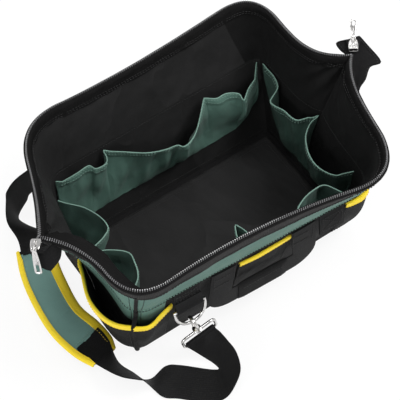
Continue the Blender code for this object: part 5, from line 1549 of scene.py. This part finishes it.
# %% Zip tails
# Each row has the two edges of the tape in the slider's axes and half its thickness, all in slider lengths.
TAIL_ROWS = {
    "left": (
        ((-0.20, 0.0, -0.46), (-0.20, 0.0, 0.46), 0.131), ((0.46, 0.0, -0.54), (0.46, 0.0, 0.54), 0.131),
        ((0.53, 0.0, -0.80), (0.54, -0.02, 0.50), 0.038), ((-0.42, -0.46, -1.20), (0.56, -0.25, 0.42), 0.038),
        ((-0.48, -0.78, -1.78), (0.64, -0.60, 0.35), 0.038), ((0.38, -1.50, -1.66), (0.74, -1.05, 0.15), 0.038),
        ((1.22, -1.91, -0.90), (0.98, -1.72, -0.02), 0.038)),
    "right": (
        ((-0.20, 0.0, -0.46), (-0.20, 0.0, 0.46), 0.131), ((0.46, 0.0, -0.60), (0.46, 0.0, 0.60), 0.131),
        ((0.54, 0.0, -0.85), (0.60, -0.02, 0.60), 0.038), ((0.36, -0.04, -1.49), (1.22, -0.28, 0.54), 0.038),
        ((-0.17, -0.36, -1.14), (0.45, -0.62, 1.21), 0.038), ((-0.62, -0.62, -0.62), (-1.06, -1.09, 2.30), 0.038),
        ((-1.36, -0.80, -0.32), (-1.40, -1.30, 1.36), 0.038), ((-2.29, -1.27, -0.10), (-2.36, -1.71, 0.98), 0.038),
        ((-3.02, -1.86, 0.05), (-3.05, -2.17, 0.42), 0.038), ((-3.71, -2.52, 0.18), (-3.76, -2.62, 0.30), 0.038)),
}


def row_normal(rows, k):
    ahead, behind = rows[min(k + 1, len(rows) - 1)], rows[max(k - 1, 0)]
    run = (ahead[0] + ahead[1] - behind[0] - behind[1]).normalized()
    return run.cross((rows[k][1] - rows[k][0]).normalized()).normalized()


def upper_normal(rows, k):
    up = row_normal(rows, k)
    return -up if up.z < 0 else up


def band_between(name, rows, thick, finish, columns=14, bow=None, smooth=48):
    """A strip between two edges, with rounded edges. Bow lifts it, from the row and the share across."""
    top, under = [], []
    for k, (a, b) in enumerate(rows):
        up = row_normal(rows, k)
        deep = thick[k] if isinstance(thick, list) else thick
        upper, lower = [], []
        for c in range(columns + 1):
            part = c / columns
            lift = bow(k, part) if bow else 0.0
            full = 1 - abs(2 * part - 1) ** 10 * 0.5
            upper.append(a.lerp(b, part) + up * (deep / 2 * full + lift))
            lower.append(a.lerp(b, part) - up * (deep / 2 * full - lift))
        top.append(upper)
        under.append(lower)
    return two_sided(name, top, under, [finish], smooth=smooth)


for side in ("left", "right"):
    axes = slider_axes(side)
    edges = ([axes.at(*(c * SLIDER_LENGTH for c in row[n])) for row in TAIL_ROWS[side]] for n in (0, 1))
    deep = [row[2] * 2 * SLIDER_LENGTH for row in TAIL_ROWS[side]]
    rows = list(zip(*(smooth_path(edge, 4) for edge in edges)))
    thicks = [deep[min(k // 4, len(deep) - 1)] for k in range(len(rows))]
    tail = band_between(side + "_tape_end", rows, thicks, BLACK_CANVAS,
                        bow=lambda k, part: 0.0011 * math.sin(part * 7 + k * 0.35) * clamp((k - 8) / 8))
    seat(tail, "bag", "zip_tape", side + "_zip_tail")
    for edge in (0.10, 0.90):
        path = [a.lerp(b, edge) + row_normal(rows, k) * 0.0009 for k, (a, b) in enumerate(rows) if k > 12]
        sew("bag", BLACK_THREAD, path, row_normal(rows, 20))
print("zip tails droop over the ends")

# %% [markdown]
# ## Carry handles
# Each handle is one loop of webbing. Its legs hang from the seam, and its middle is folded into a padded grip with a
# sewn cover. The legs and grip follow one route, and the grip is a thicker cover round the same webbing.

# %% Handle loops
HANDLE_SPREAD, HANDLE_WIDTH, HANDLE_THICK, HANDLE_GRIP, HANDLE_DROP = 0.126, 0.038, 0.0026, 0.0095, 0.097
HANDLE_OUT, GRIP_COLUMNS = 0.0027, 20
GRIP_HALF = HANDLE_SPREAD / 2 * 0.62


def handle_route():
    half, low, bend = HANDLE_SPREAD / 2, HANDLE_DROP - HANDLE_WIDTH / 2, HANDLE_WIDTH * 0.50
    route = [(-half, d) for d in spread(-0.002, low - bend, 0.007)]
    for k in range(1, 9):
        a = math.pi / 2 * k / 8
        route.append((-half + bend - bend * math.cos(a), low - bend + bend * math.sin(a)))
    route += [(x, low) for x in spread(-half + bend + 0.004, -0.0001, 0.005)]
    route += [(-x, d) for x, d in reversed(route[:-1])]
    return [(x * (1 + 0.14 * max(0.0, d) / HANDLE_DROP), d) for x, d in route]


for face in ("front", "back"):
    normal = face_normal(face, 0.0, SEAM_RISE)
    along = Vector((-normal.y, normal.x, 0.0))
    top_place = face_place(face, 0.0, (SEAM_HEIGHT - TAB_DROP * 2) / RIM_HEIGHT)
    centre = top_place + normal * HANDLE_OUT
    route = handle_route()
    half = HANDLE_SPREAD / 2
    rows = []
    for k, (x, drop) in enumerate(route):
        x2, drop2 = route[min(k + 1, len(route) - 1)]
        x1, drop1 = route[max(k - 1, 0)]
        run = Vector((x2 - x1, drop2 - drop1)).normalized()
        edges = []
        for wide in (-0.5, 0.5):
            side = x - run.y * wide * HANDLE_WIDTH
            down = drop + run.x * wide * HANDLE_WIDTH
            edges.append(centre + along * side - Vector((0, 0, down)))
        rows.append(tuple(edges))
    loop = band_between(face + "_handle_loop", rows, HANDLE_THICK, BLACK_WEBBING)
    seat(loop, face + "_carry", "webbing", face + "_handle")
    grip_rings = []
    for k, (x, drop) in enumerate(route):
        if abs(x) > GRIP_HALF:
            continue
        a, b = rows[k]
        middle, across = (a + b) / 2, (b - a) / 2
        end = 1 - (abs(x) / GRIP_HALF) ** 10
        lump = 1 + noise.noise(middle * 40) * 0.10
        ring = []
        for j in range(GRIP_COLUMNS):
            t = 2 * math.pi * j / GRIP_COLUMNS
            c, s = math.cos(t), math.sin(t)
            reach = abs(c) ** 0.5 * (1 if c > 0 else -1) * 1.02
            thick = abs(s) ** 0.7 * (1 if s > 0 else -1) * (HANDLE_GRIP / 2) * (0.62 + 0.38 * end) * lump
            ring.append(middle + across * reach + normal * thick)
        grip_rings.append(ring)
    grip = lofted(face + "_grip_cover", grip_rings, [BLACK_CANVAS], smooth=60)
    seat(grip, face + "_carry", "webbing")
    held = [pair for pair, (x, _) in zip(rows, route) if abs(x) < half * 0.58]
    for level in (-0.62, 0.62):
        path = [a.lerp(b, 0.5 + level / 2) + normal * 0.0052 for a, b in held]
        sew(face + "_carry", BLACK_THREAD, path, normal)
    for x in (-half, half):
        lines = [[(w, drop) for w in spread(-0.015, 0.015, 0.003)] for drop in (0.012, 0.030)]
        lines += [[(w, drop) for drop in spread(0.002, 0.040, 0.004)] for w in (-0.016, 0.016)]
        for line in lines:
            path = [centre + along * (x + w) - Vector((0, 0, drop)) + normal * 0.0016 for w, drop in line]
            sew(face + "_carry", BLACK_THREAD, path, normal)
print("handles hang at front and back")

# %% [markdown]
# ## Shoulder strap
# The strap is 50 mm webbing. It goes from the front hook down to the floor, twists flat, passes under the pad, and runs
# round behind the bag to the back hook. Its two edges are given row by row and smoothed, which is how a flat strap that
# twists is drawn most simply.

# %% Edges of the strap
STRAP, STRAP_WIDTH, SEWN_END = 0.0019, 0.050, 0.014
# Each row has the strap's two edges, in halves of the base's length and width and in strap widths of height.
STRAP_ROWS = (
    ((-0.6667, -1.5423, 0.360), (-0.4624, -1.5721, 0.840)),
    ((-0.6183, -1.6517, 0.140), (-0.4624, -1.7313, 0.880)),
    ((-0.5914, -1.7512, 0.080), (-0.4624, -1.9303, 0.860)),
    ((-0.5806, -1.8408, 0.060), (-0.5054, -2.1493, 0.800)),
    ((-0.5860, -1.8607, 0.060), (-0.5806, -2.2587, 0.600)),
    ((-0.6022, -1.8507, 0.060), (-0.6882, -2.2985, 0.240)),
    ((-0.6559, -1.7711, 0.060), (-0.8065, -2.1791, 0.060)),
    ((-0.8065, -1.5124, 0.080), (-0.9570, -1.9204, 0.060)),
    ((-0.9140, -1.4726, 0.360), (-1.0484, -1.7711, 0.060)),
    ((-1.0914, -1.6219, 0.880), (-1.0806, -1.4925, 0.050)),
    ((-1.1935, -1.4826, 0.840), (-1.1129, -1.2637, 0.050)),
    ((-1.2688, -1.2935, 0.760), (-1.1613, -0.9950, 0.060)),
    ((-1.3333, -0.9154, 0.460), (-1.1290, -0.6169, 0.120)),
    ((-1.4000, -0.6000, 0.440), (-1.1450, -0.3000, 0.125)),
    ((-1.4400, -0.1400, 0.400), (-1.1850, 0.0600, 0.120)),
    ((-1.4100, 0.4400, 0.260), (-1.1500, 0.5200, 0.105)),
    ((-1.3500, 0.9200, 0.140), (-1.0950, 0.9100, 0.095)),
    ((-1.2500, 1.3800, 0.180), (-1.0000, 1.1800, 0.160)),
    ((-1.2688, 1.5622, 0.900), (-1.1075, 1.6020, 0.060)),
    ((-1.1828, 1.8507, 1.000), (-1.1237, 1.7910, 0.040)),
    ((-1.1290, 1.9801, 1.010), (-0.9946, 1.9602, 0.040)),
    ((-0.9839, 2.0896, 1.020), (-0.9140, 2.0498, 0.040)),
    ((-0.6452, 2.1095, 1.120), (-0.6344, 2.0597, 0.120)),
    ((-0.4300, 2.1095, 1.160), (-0.4300, 2.0650, 0.160)),
    ((-0.1075, 2.1095, 1.140), (-0.1183, 2.0499, 0.140)),
    ((0.1075, 2.1294, 0.960), (0.0753, 1.9701, 0.070)),
    ((0.2796, 2.1493, 0.760), (0.2151, 1.8706, 0.060)),
    ((0.4516, 2.0896, 0.280), (0.3226, 1.7711, 0.060)),
    ((0.6022, 1.9502, 0.160), (0.3763, 1.7711, 0.060)),
    ((0.6774, 1.6915, 0.260), (0.4301, 1.6119, 0.140)),
)
FRONT_RUN_END, FLOOR_RUN_END, PAD_END, REAR_RUN_END, ADJUSTER_SPAN = 5, 12, 17, 27, 23
FINE, FINEST = 9, 28
SLIDE_BAR, SLIDE_HALF = 0.0027, 0.0120


def strap_edges():
    """The strap's rows, and where each row of the table stands among them."""
    edges = ([Vector((x * BASE_LENGTH / 2, y * BASE_WIDTH / 2, z * STRAP_WIDTH)) for x, y, z in edge]
             for edge in zip(*STRAP_ROWS))
    steps = [FINEST if k == ADJUSTER_SPAN else FINE for k in range(len(STRAP_ROWS) - 1)]
    marks = [sum(steps[:k]) for k in range(len(STRAP_ROWS))]
    return list(zip(*(smooth_path(edge, steps) for edge in edges))), marks


strap_rows, marks = strap_edges()


# %% The strap's ends, and the weave through the adjuster
def wrap_rows(face):
    """The sewn end stands inside the eye's bar, and the strap goes over the bar and out."""
    axes = hook_axes(face)
    first, second = (axes.at(side * STRAP_NECK / 2, 0.0, EYE_TOP - EYE_DROP) for side in (1, -1))
    radius = EYE_WIRE + REST_GAP + STRAP / 2
    rows = [tuple(p - axes.y * radius - axes.z * SEWN_END * t for p in (first, second)) for t in (1.0, 0.66, 0.33)]
    for k in range(13):
        a = math.pi * k / 12
        offset = axes.z * radius * math.sin(a) - axes.y * radius * math.cos(a)
        rows.append((first + offset, second + offset))
    return rows


def woven(rows, first, last):
    """At the adjuster the strap goes outside its end bars and inside its middle one."""
    shifted = list(rows)
    swing = SLIDE_BAR / 2 + STRAP / 2 + REST_GAP * 6
    centre = rows[(first + last) // 2][0]
    for k in range(first - 2, last + 3):
        away = (rows[k][0] - centre).length / SLIDE_HALF
        if away <= 2:
            lift = -math.cos(math.pi * away) if away < 1 else 0.5 * (1 - math.cos(math.pi * away))
            shifted[k] = tuple(p + row_normal(rows, k) * swing * lift for p in rows[k])
    return shifted


near, far = marks[ADJUSTER_SPAN], marks[ADJUSTER_SPAN + 1]
woven_rows = woven(strap_rows, near, far)


# %% Runs of webbing
def run_of_strap(name, rows, replaced, body="bag", blend=None):
    made = band_between(name, rows, STRAP, BLACK_WEBBING, 16)
    if blend:
        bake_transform(made)
        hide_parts(replaced)
        return made
    return seat(made, body, "webbing", replaced)


def end_span(face, mark):
    """Where the strap's end begins to follow its ring, and where it does so fully."""
    return tuple(sum(woven_rows[marks[mark]], Vector()) / 2), tuple(sum(wrap_rows(face)[-1], Vector()) / 2)


front_rows = wrap_rows("front") + woven_rows[: marks[FRONT_RUN_END] + 1]
run_of_strap("front_strap_run", front_rows, "strap_front_run", "front_ring", end_span("front", 3))
run_of_strap("floor_strap_run", woven_rows[marks[FRONT_RUN_END]: marks[FLOOR_RUN_END] + 1], "strap_floor_run")
run_of_strap("rear_strap_run", woven_rows[marks[PAD_END] - 3: marks[REAR_RUN_END] + 1], "strap_rear_run")
back_rows = woven_rows[marks[REAR_RUN_END]:] + list(reversed(wrap_rows("back")))
run_of_strap("back_strap_run", back_rows, "strap_back_run", "back_ring", end_span("back", 28))
print("strap is", round(sum((b[0] - a[0]).length for a, b in zip(strap_rows, strap_rows[1:])), 2), "m along one edge")

# %% [markdown]
# ## Shoulder pad
# The pad is two layers of green cloth over foam. It is made as a closed sheet of small quads, and then a short cloth
# simulation with pressure inside puffs it up between its bound edges, which are pinned. The movement is capped, so the
# pad stays in its space. The bindings and the webbing over its ends are put on afterwards, against the puffed shape.

# %% Closed blank of the pad
PAD_THICK, PAD_PRESSURE, PAD_CAP = 0.0070, 3.0, 0.0028
pad_rows = []
pad_first, pad_last = marks[FLOOR_RUN_END], marks[PAD_END] - 3
for k in range(pad_first, pad_last + 1):
    a, b = strap_rows[k]
    widen = (b - a) * 0.11
    part = (k - pad_first) / (pad_last - pad_first)
    full = max(0.0, math.cos(math.pi * min(1.0, max(0.0, part - 0.08) / 1.2)))
    pad_rows.append((a - widen, b + widen + Vector((0.001, -0.008, 0.0)) * full))
outer_line, inner_line = [r[0] for r in pad_rows], [r[1] for r in pad_rows]
corner_steps = (Vector((-0.0043, -0.0143, -0.0006)), Vector((-0.0021, -0.0072, -0.0003)))
inner_line = [inner_line[0] + step for step in corner_steps] + inner_line


def at_share(path, share):
    spot = share * (len(path) - 1)
    low = min(int(spot), len(path) - 2)
    return path[low].lerp(path[low + 1], spot - low)


PAD_STEPS, PAD_COLUMNS = 72, 16
pad_grid = [tuple(at_share(line, k / PAD_STEPS) for line in (outer_line, inner_line)) for k in range(PAD_STEPS + 1)]


def pad_sheet(lift, squeeze):
    sheet = []
    for k, (a, b) in enumerate(pad_grid):
        up = upper_normal(pad_grid, k)
        row = []
        for c in range(PAD_COLUMNS + 1):
            part = c / PAD_COLUMNS
            full = (1 - abs(2 * part - 1) ** 4) * squeeze + (1 - squeeze)
            row.append(a.lerp(b, part) + up * lift * full)
        sheet.append(row)
    return sheet


PAD_GREEN_FIRST, PAD_GREEN_LAST = 0.205, 0.97


def pad_finish(side, r, c):
    if side == 1:
        return 2
    return 0 if PAD_GREEN_FIRST <= r / PAD_STEPS <= PAD_GREEN_LAST else 1


pad = two_sided("pad_cloth", pad_sheet(PAD_THICK * 0.45, 0.35), pad_sheet(-PAD_THICK * 0.36, 0.35),
                [PAD_GREEN, BLACK_WEBBING, BLACK_CANVAS], pad_finish, smooth=70)


# %% Puffing it up
def puff(piece, pinned, pressure, cap, steps=18):
    """Cloth with pressure, with some points pinned and every point's movement capped."""
    rest = np.array([tuple(v.co) for v in piece.data.vertices])
    group = piece.vertex_groups.new(name="pinned")
    group.add(pinned, 1.0, "REPLACE")
    cloth_step = piece.modifiers.new("puff", "CLOTH")
    settings = cloth_step.settings
    settings.quality = 6
    settings.mass = 0.2
    settings.use_pressure = True
    settings.uniform_pressure_force = pressure
    settings.effector_weights.gravity = 0.0
    settings.vertex_group_mass = "pinned"
    settings.tension_stiffness = 12.0
    settings.bending_stiffness = 0.4
    cloth_step.collision_settings.use_collision = False
    for frame_number in range(1, steps + 1):
        bpy.context.scene.frame_set(frame_number)
    shown = piece.evaluated_get(bpy.context.evaluated_depsgraph_get())
    moved = np.array([tuple(v.co) for v in shown.data.vertices])
    piece.modifiers.remove(cloth_step)
    bpy.context.scene.frame_set(1)
    step = moved - rest
    far = np.linalg.norm(step, axis=1, keepdims=True)
    step = step * np.minimum(1.0, cap / np.maximum(far, 1e-9))
    piece.data.vertices.foreach_set("co", (rest + step).ravel())
    piece.data.update()
    return float(far.max())


columns = PAD_COLUMNS + 1
pins = [(side * (PAD_STEPS + 1) + r) * columns + c
        for side in (0, 1) for r in range(PAD_STEPS + 1) for c in range(columns)
        if c < 2 or c > PAD_COLUMNS - 2 or r < 2 or r > PAD_STEPS - 2]
print("the pad swelled by up to", round(puff(pad, pins, PAD_PRESSURE, PAD_CAP) * 1000, 1), "mm before the cap")
finer = pad.modifiers.new("finer", "SUBSURF")
finer.levels = finer.render_levels = 1
bpy.context.view_layer.objects.active = pad
bpy.ops.object.modifier_apply(modifier="finer")
seat(pad, "bag", "green_cloth", "shoulder_pad")

# %% Bindings and end webbing of the pad
BINDING_WIDTHS = (0.0068, 0.0145)
WEBBING_INSET, WEBBING_LIFT = 0.0085, 0.0046
outer_edge, inner_edge = zip(*pad_grid)


def pad_row(part):
    """The pad's two edges at a share of its length, and its upper side."""
    return at_share(outer_edge, part), at_share(inner_edge, part), upper_normal(pad_grid, round(part * PAD_STEPS))


for name, side in (("outer", 0), ("inner", 1)):
    rings, seam, ups = [], [], []
    for k, pair in enumerate(pad_grid):
        edge, other = pair[side], pair[1 - side]
        inward = (other - edge).normalized()
        up = upper_normal(pad_grid, k)
        deep = BINDING_WIDTHS[side] * min(1.0, 0.45 + 0.55 * (min(k, PAD_STEPS - k) / 5.0))
        section = ((deep, 0.0030), (deep, 0.0039), (deep * 0.5, 0.0042), (0.0012, 0.0036), (-0.0008, 0.0020),
                   (-0.0013, 0.0), (-0.0008, -0.0018), (0.0012, -0.0030), (deep * 0.5, -0.0034), (deep, -0.0032),
                   (deep, -0.0024), (0.0020, -0.0018), (0.0006, 0.0), (0.0020, 0.0020))
        rings.append([edge + inward * inset + up * lift for inset, lift in section])
        seam.append(edge + inward * (deep - 0.0012) + up * 0.0043)
        ups.append(up)
    seat(lofted(name + "_pad_binding", rings, [YELLOW_BINDING], smooth=60), "bag", "yellow_binding")
    sew("bag", YELLOW_THREAD, seam, ups, wide=0.00035)
for name, first, last in (("front", 0.0, PAD_GREEN_FIRST + 0.01), ("rear", PAD_GREEN_LAST - 0.01, 1.0)):
    rows = []
    for a, b, up in map(pad_row, spread(first, last, 0.012)):
        inset = (b - a).normalized() * WEBBING_INSET
        rows.append((a + inset + up * WEBBING_LIFT, b - inset + up * WEBBING_LIFT))
    band = band_between(name + "_pad_webbing", rows, 0.0014, BLACK_WEBBING, 12,
                        lambda k, part: 0.0022 * math.sin(math.pi * part))
    seat(band, "bag", "webbing")
for part in (PAD_GREEN_FIRST + 0.018, PAD_GREEN_FIRST + 0.03, PAD_GREEN_LAST - 0.03):
    a, b, up = pad_row(part)
    path = [a.lerp(b, t) + up * (0.0038 + 0.0028 * math.sin(math.pi * t)) for t in spread(0.16, 0.84, 0.04)]
    sew("bag", GREEN_THREAD, path, up)
print("pad and its bindings are on")

# %% [markdown]
# ## Strap adjuster
# Behind the bag the strap's spare length is taken up by a slide of three bars. It is a bent wire frame with a middle
# bar, and the strap is woven through it.

# %% Adjuster
middle = (near + far) // 2
a, b = strap_rows[middle]
way = sum(strap_rows[middle + 4], Vector()) - sum(strap_rows[middle - 4], Vector())
axes = Axes((a + b) / 2, way, a - b)
tall, bar = (a - b).length / 2 + SLIDE_BAR * 1.1, SLIDE_BAR / 2
corners = [(-SLIDE_HALF, -tall), (SLIDE_HALF, -tall), (SLIDE_HALF, tall), (-SLIDE_HALF, tall)]
line = []
for first, last in closed_spans([Vector(c) for c in corners]):
    run = (last - first).normalized() * 0.0025
    start, end = first + run, last - run
    count = max(2, round((end - start).length / 0.006))
    line += [axes.at(*start.lerp(end, k / count), 0.0) for k in range(count + 1)]
    line.append(axes.at(*(last - run * 0.3 + Vector((-run.y, run.x)) * 0.3), 0.0))
parts = [wire("slide_frame", line, bar, 12, 70, True)]
parts.append(wire("slide_bar", [axes.at(0.0, y, 0.0) for y in spread(-tall, tall, 0.006)], bar, 12, 70))
seat(joined("strap_slide", parts), "bag", "nickel", "strap_adjuster")

# %% [markdown]
# ## Last steps
# The gathered stitches become one mesh for each body and thread.

# %% Make the stitches
SLOT_OF = {"black_thread": "black_cloth", "green_thread": "green_cloth", "yellow_thread": "yellow_binding"}
for (body, thread), book in sorted(sewn.items()):
    made = book.make(body + "_" + thread, bpy.data.materials[thread], smooth=80)
    seat(made, body, SLOT_OF[thread])
    print(made.name, len(book.faces) // 20, "stitches")
